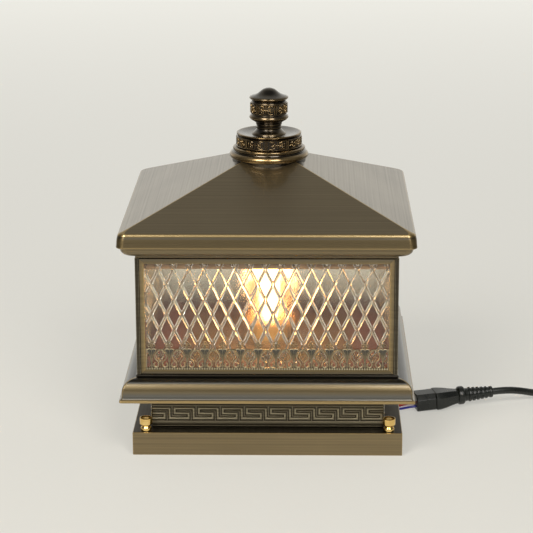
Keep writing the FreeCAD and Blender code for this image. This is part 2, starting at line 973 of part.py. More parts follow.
def lampholder_contact():
    """The sprung tongue under the lamp's tip."""
    z = z_bracket + bracket_thick + holder_floor
    half = contact_length / 2
    width = contact_width / 2
    foot = block(-half, half, -width, width, z, z + contact_thick)
    riser = block(-half, -half + contact_thick, -width, width, z, z + contact_rise + contact_thick)
    tongue = block(-half, half / 2, -width, width, z + contact_rise, z + contact_rise + contact_thick)
    return foot.fuse([riser, tongue]).removeSplitter()


def lamp_cap():
    """The lamp's screw cap: tip, insulator and threaded shell."""
    z0 = z_lamp_tip
    z1 = z0 + tip_height
    z2 = z1 + insulator_height
    points = [(0, z0), (tip_r, z0), (tip_r, z1), (insulator_r, z2), (cap_r, z2)]
    ridges = int(cap_height / cap_thread_pitch) - 1
    for index in range(ridges):
        low = z2 + (index + 0.5) * cap_thread_pitch
        middle = low + cap_thread_height / 2
        points += [(cap_r, low), ((cap_thread_r, middle), (cap_r, low + cap_thread_height))]
    points += [(cap_r, z2 + cap_height), (0, z2 + cap_height)]
    return turned(points)


def lamp_glass():
    """The golf-ball lamp's glass, from its neck to its crown."""
    z = z_lamp_tip + tip_height + insulator_height + cap_height
    centre = z + lamp_centre_height
    join_z = centre - lamp_r * lamp_join_share
    join_r = lamp_r * math.sqrt(1 - lamp_join_share ** 2)
    return turned([
        (0, z),
        (lamp_neck_r, z),
        (lamp_neck_r, z + lamp_neck_height),
        (join_r, join_z),
        ((lamp_r, centre), (0, centre + lamp_r)),
    ])


def terminal_ways():
    """The three ways of the terminal block, across it."""
    return [notch_y + step * terminal_pitch for step in (-1, 0, 1)]


def terminal_block():
    """The three-way block on the plate."""
    x0 = terminal_x - terminal_length / 2
    y0 = notch_y - terminal_width / 2
    top = plate_thick + terminal_height
    body = block(x0, x0 + terminal_length, y0, y0 + terminal_width, plate_thick, top)
    wells = []
    for y in terminal_ways():
        for x in (x0 + terminal_screw_inset, x0 + terminal_length - terminal_screw_inset):
            depth = 2 * terminal_screw_height
            wells.append(rod(terminal_screw_r + screw_hole_gap, depth + over, V(x, y, top - depth)))
    return body.cut(Part.makeCompound(wells))


def terminal_screws():
    """Six clamp screws in the block."""
    x0 = terminal_x - terminal_length / 2
    z = plate_thick + terminal_height - 2 * terminal_screw_height
    screws = []
    for y in terminal_ways():
        for x in (x0 + terminal_screw_inset, x0 + terminal_length - terminal_screw_inset):
            screws.append(rod(terminal_screw_r, terminal_screw_height, V(x, y, z)))
    return Part.makeCompound(screws)


def round_path(points, name):
    """Straight runs joined by tangent arcs as large as the runs allow, with the radii printed."""
    share = 0.45
    edges = []
    radii = []
    start = points[0]
    for before, corner, after in zip(points, points[1:], points[2:]):
        arrive = corner - before
        leave = after - corner
        turn = arrive.getAngle(leave)
        cut = share * min(arrive.Length, leave.Length)
        radius = cut / math.tan(turn / 2)
        arrive.normalize()
        leave.normalize()
        first = corner - arrive * cut
        second = corner + leave * cut
        inward = (leave - arrive).normalize()
        middle = corner + inward * (radius / math.cos(turn / 2) - radius)
        edges.append(Part.LineSegment(start, first).toShape())
        edges.append(Part.Arc(first, middle, second).toShape())
        radii.append(round(radius, 1))
        start = second
    edges.append(Part.LineSegment(start, points[-1]).toShape())
    path = Part.Wire(edges)
    print(name, "length", round(path.Length, 1), "radii", radii)
    return path


def tube(path, radius, name):
    """A round tube along a path, with its volume set against section times length."""
    start = path.Edges[0].valueAt(path.Edges[0].FirstParameter)
    ahead = path.Edges[0].tangentAt(path.Edges[0].FirstParameter)
    ring = Part.Wire([Part.Circle(start, ahead, radius).toShape()])
    solid = path.makePipeShell([ring], True, False)
    expected = math.pi * radius ** 2 * path.Length
    print(name, "volume share", round(solid.Volume / expected, 4))
    return solid


def connector_axis():
    """The connector's direction, from the wires' side to the cable's side."""
    yaw = math.radians(connector_yaw)
    pitch = math.radians(connector_pitch)
    return V(math.cos(pitch) * math.cos(yaw), math.cos(pitch) * math.sin(yaw), math.sin(pitch))


def set_in_line(shape):
    """Turn a shape made along +X into the connector's place."""
    shape.rotate(V(0, 0, 0), V(0, 1, 0), -connector_pitch)
    shape.rotate(V(0, 0, 0), UP, connector_yaw)
    shape.translate(connector_at)
    return shape


def chamfered_section(x, width, height, chamfer):
    """A section across the connector with its two upper corners cut off."""
    half = width / 2
    low = -height / 2
    high = height / 2
    points = [
        (-half, low), (half, low), (half, high - chamfer),
        (half - chamfer, high), (chamfer - half, high), (-half, high - chamfer),
    ]
    return outline(points, lambda p: V(x, p[0], p[1]))


def connector_body():
    """The moulded connector: chamfered nose, shoulder, finger grip and ribbed strain relief."""
    nose_face = Part.Face(chamfered_section(0, nose_width, nose_height, nose_chamfer))
    nose = nose_face.extrude(V(nose_length, 0, 0))
    x1 = nose_length
    x2 = x1 + shoulder_length
    x3 = x2 + grip_length
    start = chamfered_section(x1, shoulder_width, shoulder_height, shoulder_height * shoulder_chamfer_share)
    end_chamfer = shoulder_end_height * shoulder_chamfer_share
    end = chamfered_section(x2, shoulder_end_width, shoulder_end_height, end_chamfer)
    shoulder = Part.makeLoft([start, end], True, True)
    slim = grip_r - grip_length / 4
    grip = turned_along([
        (x2, 0), (x2, slim), ((x2 + grip_length / 2, grip_r), (x3, slim)), (x3, 0),
    ])
    relief_points = [(x3, 0), (x3, relief_r)]
    step = relief_length / relief_ribs
    for index in range(relief_ribs):
        low = x3 + (index + 1) * step - rib_width
        radius = relief_r + (relief_end_r - relief_r) * (index + 1) / relief_ribs
        relief_points += [(low, radius + rib_depth / 2), (low, radius - rib_depth / 2)]
        if index < relief_ribs - 1:
            high = low + rib_width
            relief_points += [(high, radius - rib_depth / 2), (high, radius + rib_depth / 2)]
    relief_points += [(x3 + relief_length, relief_end_r - rib_depth / 2), (x3 + relief_length, 0)]
    relief = turned_along(relief_points)
    return set_in_line(nose.fuse([shoulder, grip, relief]).removeSplitter())


def turned_along(points):
    """A solid of revolution about +X from an outline of (along, radius) items."""
    face = Part.Face(outline(points, lambda p: V(p[0], 0, p[1])))
    return face.revolve(V(0, 0, 0), V(1, 0, 0), 360)


def wire_ends():
    """Where each supply wire meets the connector, across its nose and up it."""
    return {"red": (-1.6, 0.0), "white": (2.6, -3.6), "blue": (-6.0, -4.8)}


def supply_wire(colour, way, notch):
    """One supply wire: out of its way in the block, through the notch and into the connector."""
    axis = connector_axis()
    across, up = wire_ends()[colour]
    side = V(-axis.y, axis.x, 0).normalize()
    end = connector_at + side * across + side.cross(axis) * (-up)
    start = V(terminal_x + terminal_length / 2, way, plate_thick + terminal_height / 3)
    points = [
        start,
        start + V(8, 0, 0),
        V(108, (way + notch.x) / 2, (start.z + notch.y) / 2),
        V(125, notch.x, notch.y),
        end - axis * 6,
        end,
    ]
    return tube(round_path(points, colour), wire_r, colour)


def lampholder_leads():
    """Two leads from the block up through the box and the plinth to the foot of the holder."""
    leads = []
    ways = terminal_ways()
    start_x = terminal_x - terminal_length / 2
    start_z = plate_thick + terminal_height / 3
    angle = math.radians(lead_entry_degrees)
    slope = (holder_r - holder_foot_r) / holder_foot_height
    entry_r = holder_foot_r + lead_entry_height * slope + lead_entry_gap
    entry_z = z_bracket + bracket_thick + lead_entry_height
    for side, way in ((-1, ways[0]), (1, ways[2])):
        outward = V(math.cos(angle), side * math.sin(angle), 0)
        end = outward * entry_r + V(0, 0, entry_z)
        away = (outward - UP * slope).normalize()
        points = [
            V(start_x, way, start_z),
            V(start_x - 12, way, start_z),
            V(30, way * 1.4, 14),
            V(22, side * 19, 28),
            V(18, side * 26, 46),
            end + away * lead_entry_run,
            end,
        ]
        leads.append(tube(round_path(points, "lead"), lead_r, "lead"))
    return Part.makeCompound(leads)


def relief_end():
    """The end of the connector's strain relief, where the cable leaves it."""
    return connector_at + connector_axis() * (nose_length + shoulder_length + grip_length + relief_length)


def coil_z():
    """The height of the coil's lower layer, which lies on its tie."""
    return cable_r + tie_thick + tie_gap


def mains_cable():
    """The stretch from the strain relief to the coil."""
    points = [
        relief_end(),
        relief_end() + connector_axis() * 13.0,
        V(248.0, 29.5, 11.2),
        V(262.0, 34.0, 7.4),
        V(277.0, 38.6, 4.8),
        V(300.0, coil_y - coil_r, coil_z()),
        V(coil_x - cable_d, coil_y - coil_r, coil_z()),
    ]
    return tube(round_path(points, "mains cable"), cable_r, "mains cable")


def half_turns():
    """The coil's half turns, each as its start, middle and end: in, up a layer, and out again."""
    z = coil_z()
    at = V(coil_x, coil_y - coil_r, z)
    side = 1
    arcs = []
    radii = [coil_r - step * coil_pitch / 2 for step in range(coil_half_turns)]
    for radius in radii:
        end = at + V(0, side * 2 * radius, 0)
        arcs.append((at, at + V(side * radius, side * radius, 0), end))
        at = end
        side = -side
    inner = coil_r - coil_half_turns * coil_pitch / 2
    end = at + V(0, side * 2 * inner, coil_layer)
    slant = math.sqrt(inner ** 2 + (coil_layer / 2) ** 2)
    arcs.append((at, at + V(side * slant, side * inner, coil_layer / 2), end))
    at = end
    side = -side
    for radius in reversed(radii):
        end = at + V(0, side * 2 * radius, 0)
        arcs.append((at, at + V(side * radius, side * radius, 0), end))
        at = end
        side = -side
    slant = math.sqrt(0.5)
    outer = coil_r + coil_pitch / 2
    centre = at + V(0, side * outer, 0)
    middle = centre + V(side * outer * slant, -side * outer * slant, 0)
    arcs.append((at, middle, centre + V(side * outer, 0, 0)))
    return arcs


def cable_coil():
    """The wound length: one unbroken tube, with its least gap to itself printed."""
    arcs = half_turns()
    first = arcs[0][0]
    last = arcs[-1][2]
    away = V(0, -1, 0) if last.x < coil_x else V(0, 1, 0)
    edges = [Part.LineSegment(first - V(cable_d, 0, 0), first).toShape()]
    edges += [Part.Arc(*arc).toShape() for arc in arcs]
    edges.append(Part.LineSegment(last, last + away * cable_d).toShape())
    path = Part.Wire(edges)
    points = path.discretize(Distance=cable_r)
    apart = 8
    least = min(
        points[i].distanceToPoint(points[j])
        for i in range(len(points))
        for j in range(i + apart, len(points))
    )
    print("coil length", round(path.Length, 1), "least gap", round(least - cable_d, 2))
    return tube(path, cable_r, "coil"), last + away * cable_d, away


def coil_tie():
    """The strap round the coil's bundle of turns."""
    inner = coil_r - coil_half_turns * coil_pitch / 2 - cable_r - 1.5 * coil_pitch / 2
    outer = coil_r + cable_r + coil_pitch / 2
    low = tie_thick
    high = coil_z() + coil_layer + cable_r + tie_gap
    half = tie_width / 2
    strap = block(inner - tie_thick, outer + tie_thick, -half, half, 0, high + tie_thick)
    strap = strap.cut(block(inner, outer, -half - over, half + over, low, high))
    strap.rotate(V(0, 0, 0), UP, tie_angle)
    strap.translate(V(coil_x, coil_y, 0))
    return strap


def plug_route(start, away):
    """The short tail from the coil to the plug, as its points."""
    return [
        start,
        start + away * 16.0,
        start + away * 38.0 + V(1.8, 0, 0.4),
        start + away * 62.0 + V(2.6, 0, 0.5),
        start + away * tail_length + V(2.6, 0, 0.5),
    ]


def in_plug_place(shape, at):
    """Turn a shape made along +X so that it points to -Y from a point."""
    shape.rotate(V(0, 0, 0), UP, -90)
    shape.translate(at)
    return shape


def plug_body(at):
    """The moulded plug with its strain relief."""
    relief = turned_along([
        (0, 0), (0, plug_relief_start_r), (plug_relief_length, plug_relief_r), (plug_relief_length, 0),
    ])
    x0 = plug_relief_length
    half = plug_width / 2
    high = plug_height / 2
    body = block(x0, x0 + plug_length, -half, half, -high, high)
    corners = [edge for edge in body.Edges if abs(edge.tangentAt(0).x) > 0.5]
    body = body.makeFillet(plug_corner, corners)
    return in_plug_place(relief.fuse(body).removeSplitter(), at)


def plug_pins(at):
    """Two blades and the earth pin."""
    x0 = plug_relief_length + plug_length
    thick = blade_thick / 2
    lift = ground_drop / 2
    pins = []
    for side in (-1, 1):
        y = side * blade_spacing / 2
        low = lift - blade_height / 2
        pins.append(block(x0, x0 + blade_length, y - thick, y + thick, low, low + blade_height))
    pins.append(rod(ground_r, ground_length, V(x0, 0, lift - ground_drop), V(1, 0, 0)))
    return in_plug_place(Part.makeCompound(pins), at)


def main():
    os.makedirs("parts", exist_ok=True)
    save("mounting_plate", mounting_plate())
    save("base_box", base_box())
    save("cable_grommet", cable_grommet())
    for name, (x, y) in zip(("front_left", "front_right", "rear_left", "rear_right"), studs_at()):
        save("nut_" + name, nut(x, y))
    save("plinth", plinth())
    save("moulding", moulding())
    save("floor_pan", floor_pan())
    sides = {"front": 0, "right": 90, "rear": 180, "left": 270}
    fronts = {
        "key_band": key_band(), "window_frame": window_frame(),
        "glass_pane": glass_pane(), "cast_strip": cast_strip(),
    }
    for kind, front in fronts.items():
        for side, degrees in sides.items():
            save("%s_%s" % (kind, side), turned_about(front, degrees))
    corners = {"front_left": 0, "front_right": 90, "rear_right": 180, "rear_left": 270}
    for corner, degrees in corners.items():
        save("post_" + corner, turned_about(corner_post(), degrees))
    save("top_frame", top_frame())
    save("roof_gasket", roof_gasket())
    save("cross_bar", cross_bar())
    save("tie_rod", tie_rod())
    save("rod_nuts", rod_nuts())
    save("roof_shell", roof_shell())
    save("roof_fascia", roof_fascia())
    save("finial_collar", finial_collar())
    save("finial_disc", finial_disc())
    save("finial_knob", finial_knob())
    save("holder_bracket", holder_bracket())
    save("bracket_screws", bracket_screws())
    save("lampholder_body", lampholder_body())
    save("lampholder_shell", lampholder_shell())
    save("lampholder_contact", lampholder_contact())
    save("lamp_cap", lamp_cap())
    save("lamp_glass", lamp_glass())
    save("terminal_block", terminal_block())
    save("terminal_screws", terminal_screws())
    save("lampholder_leads", lampholder_leads())
    low, middle, high = terminal_ways()
    save("supply_wire_red", supply_wire("red", high, V(notch_y + 1.0, 4.4, 0)))
    save("supply_wire_white", supply_wire("white", middle, V(notch_y + 1.2, 2.0, 0)))
    save("supply_wire_blue", supply_wire("blue", low, V(notch_y - 1.4, 1.4, 0)))
    save("connector_body", connector_body())
    save("mains_cable", mains_cable())
    coil, tail_start, away = cable_coil()
    save("cable_coil", coil)
    save("coil_tie", coil_tie())
    tail = plug_route(tail_start, away)
    save("plug_cable", tube(round_path(tail, "plug cable"), cable_r, "plug cable"))
    save("plug_body", plug_body(tail[-1]))
    save("plug_pins", plug_pins(tail[-1]))
    print("top of the finial", round(z_knob + knob_height, 1))


main()
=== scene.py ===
import json
import math

import bmesh
import bpy
from mathutils import Matrix, Vector


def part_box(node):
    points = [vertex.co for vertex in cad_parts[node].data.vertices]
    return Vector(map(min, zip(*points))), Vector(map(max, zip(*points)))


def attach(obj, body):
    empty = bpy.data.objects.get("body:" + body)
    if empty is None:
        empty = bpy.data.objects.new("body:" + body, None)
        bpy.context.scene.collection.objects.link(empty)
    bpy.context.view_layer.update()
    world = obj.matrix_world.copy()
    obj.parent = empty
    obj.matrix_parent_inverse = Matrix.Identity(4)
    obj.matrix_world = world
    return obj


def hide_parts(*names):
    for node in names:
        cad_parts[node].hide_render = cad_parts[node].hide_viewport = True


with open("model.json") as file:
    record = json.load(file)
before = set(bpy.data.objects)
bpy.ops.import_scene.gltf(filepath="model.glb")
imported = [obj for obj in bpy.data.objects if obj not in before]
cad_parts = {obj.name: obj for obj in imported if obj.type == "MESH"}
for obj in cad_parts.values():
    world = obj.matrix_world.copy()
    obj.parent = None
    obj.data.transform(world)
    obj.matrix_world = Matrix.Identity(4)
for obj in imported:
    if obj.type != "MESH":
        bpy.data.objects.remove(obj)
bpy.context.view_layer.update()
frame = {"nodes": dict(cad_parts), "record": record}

# Square pillar light with its lead. Shapes are worked out in millimetres and scaled when a piece is
# finished. +Z is up and the front faces -Y.
MM = 0.001
SIDES = {"front": 0, "right": 90, "rear": 180, "left": 270}
CORNERS = ("front_left", "front_right", "rear_right", "rear_left")

# View
photo_width_px = 533
focal_px = 2014.36
sensor_mm = 36.0
camera_at = Vector((38.962, -1879.222, 669.003))
camera_yaw = -0.0222561
camera_pitch = 0.2707573
camera_roll = -0.0040050

# Studio: colours, where they change in shares of the sky's reach, and the two softboxes
back_low = (0.92, 0.905, 0.85, 1)
front_low = (0.10, 0.098, 0.09, 1)
sky_high = (0.43, 0.43, 0.41, 1)
sky_above = (0.16, 0.16, 0.154, 1)
low_turn = (0.35, 0.75)
high_turn = (0.2, 0.5)
sky_rise = (0.05, 0.75)
softbox_distance = 2300.0
softbox_size = (800.0, 1300.0)
softbox_elevation = 42.0
softbox_colour = (1.0, 0.97, 0.93)
softboxes = {"left": (-29.0, 31.5), "right": (21.0, 25.0)}

# Floor: colours, with painted shade in front and at the sides and a painted glow that brightens it towards the back,
# and where they change in metres
floor_size = 16000.0
floor_painted_shade = (0.12, 0.118, 0.105, 1)
floor_colour = (0.36, 0.353, 0.326, 1)
floor_painted_glow = (0.80, 0.79, 0.735, 1)
floor_middle = (0.9, 0.5)
floor_widening = (0.0, 8.0, 0.0, 1.1)
floor_front = (-1.7, -0.6)
floor_brightening = (-0.5, 3.0, 0.42, 0.90)


def span(name):
    """A node's lowest and highest corners in millimetres."""
    low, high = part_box(name)
    return low / MM, high / MM


def direction(azimuth, elevation):
    """A unit vector: azimuth in degrees from the front towards +X, elevation up from the floor."""
    turn, rise = math.radians(azimuth), math.radians(elevation)
    return Vector((math.sin(turn) * math.cos(rise), -math.cos(turn) * math.cos(rise), math.sin(rise)))


def new_object(name, data):
    """An object in the scene."""
    made = bpy.data.objects.new(name, data)
    bpy.context.scene.collection.objects.link(made)
    return made


def meshed(shape, name):
    """A mesh of a shape, which is used up."""
    mesh = bpy.data.meshes.new(name)
    shape.to_mesh(mesh)
    shape.free()
    return mesh


def make_camera():
    """The camera that was fitted to the object's straight edges."""
    data = bpy.data.cameras.new("camera")
    data.sensor_width = sensor_mm
    data.lens = sensor_mm * focal_px / photo_width_px
    forward = Vector((
        math.sin(camera_yaw) * math.cos(camera_pitch),
        math.cos(camera_yaw) * math.cos(camera_pitch),
        -math.sin(camera_pitch),
    ))
    level = Vector((math.cos(camera_yaw), -math.sin(camera_yaw), 0))
    above = level.cross(forward)
    right = math.cos(camera_roll) * level + math.sin(camera_roll) * above
    up = right.cross(forward)
    camera = new_object("camera", data)
    axes = Matrix((right, up, -forward)).transposed().to_4x4()
    camera.matrix_world = Matrix.Translation(camera_at * MM) @ axes
    bpy.context.scene.camera = camera


def make_lights():
    """A studio that is pale behind the light and dark in front of it, with two tall softboxes."""
    world = bpy.data.worlds.new("studio")
    bpy.context.scene.world = world
    world.use_nodes = True
    tree = world.node_tree
    place = axis_values(tree, "Generated")
    low = blended(tree, ramp(tree, place["Y"], *low_turn), front_low, back_low)
    high = blended(tree, ramp(tree, place["Y"], *high_turn), sky_above, sky_high)
    colour = blended(tree, ramp(tree, place["Z"], *sky_rise), low, high)
    fill(tree, tree.nodes["Background"], {"Color": colour})
    for name, (azimuth, power) in softboxes.items():
        data = bpy.data.lights.new("softbox_" + name, "AREA")
        data.shape = "RECTANGLE"
        data.size, data.size_y = (side * MM for side in softbox_size)
        data.energy = power
        data.color = softbox_colour
        away = direction(azimuth, softbox_elevation)
        light = new_object("softbox_" + name, data)
        light.location = away * softbox_distance * MM
        light.rotation_euler = away.to_track_quat("Z", "Y").to_euler()


def make_floor():
    """The floor, with painted shade in front and at the sides and a painted glow that brightens it towards the back,
    which is no part of the light.
    """
    bm = bmesh.new()
    bmesh.ops.create_grid(bm, x_segments=1, y_segments=1, size=floor_size / 2 * MM)
    floor = new_object("floor", meshed(bm, "floor"))
    material, tree, shader = new_material("pale_floor")
    place = axis_values(tree)
    widening = between(tree, place["Y"], *floor_widening)
    aside = maths(tree, "SUBTRACT", maths(tree, "ABSOLUTE", place["X"]), widening)
    front = ramp(tree, place["Y"], *floor_front)
    lit_share = maths(tree, "MULTIPLY", ramp(tree, aside, *floor_middle), front)
    fill(tree, shader, {
        "Base Color": blended(tree, lit_share, floor_painted_shade, floor_colour),
        "Emission Color": floor_painted_glow,
        "Emission Strength": maths(tree, "MULTIPLY", lit_share, between(tree, place["Y"], *floor_brightening)),
        "Roughness": 0.75,
        "Specular IOR Level": 0.2,
    })
    floor.data.materials.append(material)


# Material helpers


def fill(tree, made, inputs):
    """Link or set a node's inputs, by name or number."""
    for key, value in inputs.items():
        if isinstance(value, bpy.types.NodeSocket):
            tree.links.new(value, made.inputs[key])
        else:
            made.inputs[key].default_value = value


def node(tree, kind, inputs=None, **settings):
    """A node with its settings and inputs."""
    made = tree.nodes.new(kind)
    for key, value in settings.items():
        setattr(made, key, value)
    fill(tree, made, inputs or {})
    return made


def between(tree, value, low, high, out_low, out_high):
    """A value spread from one range over another and kept inside it."""
    inputs = {"Value": value, "From Min": low, "From Max": high, "To Min": out_low, "To Max": out_high}
    return node(tree, "ShaderNodeMapRange", inputs).outputs["Result"]


def ramp(tree, value, low, high):
    """0 at the low end of a range, 1 at its high end."""
    return between(tree, value, low, high, 0, 1)


def mixed(tree, share, first, second):
    """A number between two numbers."""
    return between(tree, share, 0, 1, first, second)


def blended(tree, share, first, second):
    """A colour between two colours."""
    made = node(tree, "ShaderNodeMix", {0: share, 6: first, 7: second}, data_type="RGBA")
    return made.outputs[2]


def maths(tree, operation, first, second=0.0):
    """The result of one operation."""
    return node(tree, "ShaderNodeMath", {0: first, 1: second}, operation=operation).outputs[0]


def axis_values(tree, kind="Object"):
    """A spot's place along X, Y and Z."""
    where = node(tree, "ShaderNodeTexCoord").outputs[kind]
    return node(tree, "ShaderNodeSeparateXYZ", {"Vector": where}).outputs


def off_centre(tree):
    """A spot's distances from the lamp's axis along X and Y, and its height."""
    place = axis_values(tree)
    return maths(tree, "ABSOLUTE", place["X"]), maths(tree, "ABSOLUTE", place["Y"]), place["Z"]


def wear_and_light_value(tree):
    """The wear-and-light layer: how far a spot is rubbed back to gold or given a painted highlight, and under 0 how
    far painted shade greys and blackens it.
    """
    return node(tree, "ShaderNodeAttribute", attribute_name="wear_and_painted_light").outputs["Fac"]


def new_material(name):
    """An empty material, its tree and its shader."""
    material = bpy.data.materials.new(name)
    material.use_nodes = True
    tree = material.node_tree
    return material, tree, tree.nodes["Principled BSDF"]


def place_on(tree, scale, source="object"):
    """Object coordinates, or the grain map, stretched by one scale or by one for each axis."""
    if source == "grain":
        where = node(tree, "ShaderNodeUVMap", uv_map="grain").outputs["UV"]
    else:
        where = node(tree, "ShaderNodeTexCoord").outputs["Object"]
    scales = scale if isinstance(scale, tuple) else (scale,) * 3
    return node(tree, "ShaderNodeMapping", {"Vector": where, "Scale": scales}).outputs["Vector"]


def noise(tree, scale, detail=3.0, roughness=0.55, source="object"):
    """Cloudy noise from 0 to 1 with so many features in a metre."""
    where = place_on(tree, scale, source)
    inputs = {"Vector": where, "Scale": 1.0, "Detail": detail, "Roughness": roughness}
    return node(tree, "ShaderNodeTexNoise", inputs).outputs["Fac"]


def roughened(tree, shader, height, depth, strength):
    """Bump on a shader from a height, with its depth in millimetres."""
    made = node(tree, "ShaderNodeBump", {"Height": height, "Distance": depth * MM, "Strength": strength})
    fill(tree, shader, {"Normal": made.outputs["Normal"]})


# Bronze: features in a metre along and across its grain, the ranges of its tones, and the grey and black that paint
# shade and reflection on it
long_grain = (2.5, 520, 1)
fine_grain = (14, 2600, 1)
tone_range = (0.3, 0.7)
patch_range = (0.35, 0.65)
painted_black = (0.022, 0.018, 0.012, 1)
grey_tone = (0.15, 0.148, 0.135, 1)

# The lamp's chamber in metres, and the warm tones of painted lamplight that show through the panes
chamber_half = (0.1146, 0.1142)
chamber_middle = 0.1315
chamber_reach = (0.0580, 0.0570)
chamber_edge = (0.068, 0.090)
chamber_foot = (0.100, 0.085)
chamber_head = (0.172, 0.178)
chamber_rough = 0.8
lamplit_brown = (0.125, 0.069, 0.022, 1)
lamplit_red = (0.14, 0.040, 0.020, 1)
lamplit_amber = (0.30, 0.18, 0.090, 1)


def lamplit_share(tree):
    """1 where a surface faces the lamp's chamber and is painted with lamplight, and 0 elsewhere."""
    across, deep, height = off_centre(tree)
    wide = ramp(tree, maths(tree, "MAXIMUM", across, deep), *chamber_half)
    above = maths(tree, "ABSOLUTE", maths(tree, "SUBTRACT", height, chamber_middle))
    return maths(tree, "MULTIPLY", wide, ramp(tree, above, *chamber_reach))


def painted_lamplight_colour(tree):
    """Painted lamplight: brown, redder along the floor's edges and lighter at the head."""
    across, deep, height = off_centre(tree)
    edge = ramp(tree, maths(tree, "MAXIMUM", across, deep), *chamber_edge)
    low = maths(tree, "MULTIPLY", edge, ramp(tree, height, *chamber_foot))
    colour = blended(tree, low, lamplit_brown, lamplit_red)
    return blended(tree, ramp(tree, height, *chamber_head), colour, lamplit_amber)


def brushed_bronze(name, dark, light, gold, rough_low, rough_high, coat, gold_metal=1.0):
    """Darkened brass, brushed along its length, under a clear coat.

    The wear-and-light layer rubs it back to gold over 0, and under 0 paints shade and reflection on it, grey down to
    -1 and black down to -2. Inside the lamp's chamber its colour is painted lamplight."""
    material, tree, shader = new_material(name)
    coarse = maths(tree, "MULTIPLY", noise(tree, long_grain, 2.0, source="grain"), 0.5)
    fine = maths(tree, "MULTIPLY", noise(tree, fine_grain, 2.0, source="grain"), 0.25)
    grain = maths(tree, "ADD", coarse, fine)
    tone = maths(tree, "ADD", grain, maths(tree, "MULTIPLY", noise(tree, 11), 0.25))
    wear_and_light = wear_and_light_value(tree)
    gold_share = maths(tree, "MULTIPLY", ramp(tree, wear_and_light, 0, 1), between(tree, grain, 0.25, 0.5, 0.45, 1.0))
    colour = blended(tree, ramp(tree, tone, *tone_range), dark, light)
    colour = blended(tree, ramp(tree, wear_and_light, 0, -1), colour, grey_tone)
    colour = blended(tree, ramp(tree, wear_and_light, -1, -2), colour, painted_black)
    colour = blended(tree, gold_share, colour, gold)
    # Inside the lamp's chamber the bronze gives way to painted lamplight.
    lamplit = lamplit_share(tree)
    rough = between(tree, tone, *tone_range, rough_high, rough_low)
    fill(tree, shader, {
        "Base Color": blended(tree, lamplit, colour, painted_lamplight_colour(tree)),
        "Roughness": mixed(tree, lamplit, rough, chamber_rough),
        "Metallic": mixed(tree, lamplit, mixed(tree, gold_share, 1, gold_metal), 0),
        "Anisotropic": 0.55,
        "Anisotropic Rotation": 0.25,
        "Coat Weight": mixed(tree, lamplit, coat, 0),
        "Coat Roughness": 0.12,
        "Tangent": node(tree, "ShaderNodeTangent", direction_type="UV_MAP", uv_map="grain").outputs["Tangent"],
    })
    roughened(tree, shader, grain, 0.03, 0.13)
    return material


def antique_bronze():
    return brushed_bronze(
        "antique_bronze", (0.130, 0.099, 0.054, 1), (0.240, 0.185, 0.098, 1), (0.60, 0.42, 0.17, 1), 0.30, 0.44, 0.6
    )


# A darker bronze with brighter gold where it is rubbed, for the key bands, posts and cast strips; its dark ground is
# partly painted shade, of the key bands set back under the tray and the posts set back between the frames.
def worn_bronze():
    return brushed_bronze(
        "worn_bronze", (0.032, 0.026, 0.016, 1), (0.085, 0.069, 0.041, 1), (0.80, 0.69, 0.45, 1), 0.28, 0.42, 0.4, 0.6
    )


def dark_bronze():
    """Polished dark bronze with gold showing through on the rings."""
    material, tree, shader = new_material("dark_bronze")
    patches = noise(tree, 60)
    base = blended(tree, ramp(tree, patches, 0.4, 0.62), (0.042, 0.034, 0.025, 1), (0.095, 0.074, 0.046, 1))
    gold_share = maths(tree, "MULTIPLY", wear_and_light_value(tree), between(tree, patches, 0.3, 0.6, 0.6, 1.0))
    fill(tree, shader, {
        "Base Color": blended(tree, gold_share, base, (0.42, 0.285, 0.12, 1)),
        "Roughness": between(tree, patches, *tone_range, 0.2, 0.3),
        "Metallic": 1.0,
        "Coat Weight": 0.6,
        "Coat Roughness": 0.1,
    })
    roughened(tree, shader, noise(tree, 420, 2.0), 0.06, 0.25)
    return material


def plain_metal(name, low, high, rough_low, rough_high, scale):
    """A plain metal with small changes of tone and shine."""
    material, tree, shader = new_material(name)
    patches = noise(tree, scale, 4.0)
    fill(tree, shader, {
        "Base Color": blended(tree, ramp(tree, patches, *patch_range), low, high),
        "Roughness": between(tree, patches, *patch_range, rough_low, rough_high),
        "Metallic": 1.0,
    })
    roughened(tree, shader, noise(tree, scale * 9, 2.0), 0.03, 0.3)
    return material


def polished_brass():
    return plain_metal("polished_brass", (0.76, 0.50, 0.16, 1), (0.90, 0.64, 0.25, 1), 0.12, 0.22, 160)


def galvanised_steel():
    return plain_metal("galvanised_steel", (0.42, 0.43, 0.43, 1), (0.62, 0.62, 0.60, 1), 0.35, 0.55, 130)


def contact_brass():
    return plain_metal("contact_brass", (0.62, 0.45, 0.20, 1), (0.76, 0.58, 0.30, 1), 0.25, 0.4, 120)


def lamp_cap_alloy():
    return plain_metal("lamp_cap_alloy", (0.66, 0.65, 0.62, 1), (0.80, 0.79, 0.76, 1), 0.25, 0.4, 150)


def moulded(name, low, high, rough, grain_depth, coat=0.0):
    """Moulded rubber, plastic or glaze: slight changes of tone and a fine skin."""
    material, tree, shader = new_material(name)
    patches = noise(tree, 70, 4.0)
    fill(tree, shader, {
        "Base Color": blended(tree, ramp(tree, patches, *patch_range), low, high),
        "Roughness": between(tree, patches, *tone_range, rough - 0.06, rough + 0.06),
        "Coat Weight": coat,
    })
    roughened(tree, shader, noise(tree, 2400, 2.0), grain_depth, 0.5)
    return material


def white_ceramic():
    """White glaze, toned orange for the light of the lamp that stands in it."""
    return moulded("white_ceramic", (0.74, 0.37, 0.085, 1), (0.82, 0.44, 0.12, 1), 0.3, 0.01, 0.5)


def black_rubber():
    return moulded("black_rubber", (0.016, 0.016, 0.016, 1), (0.03, 0.03, 0.03, 1), 0.6, 0.04)


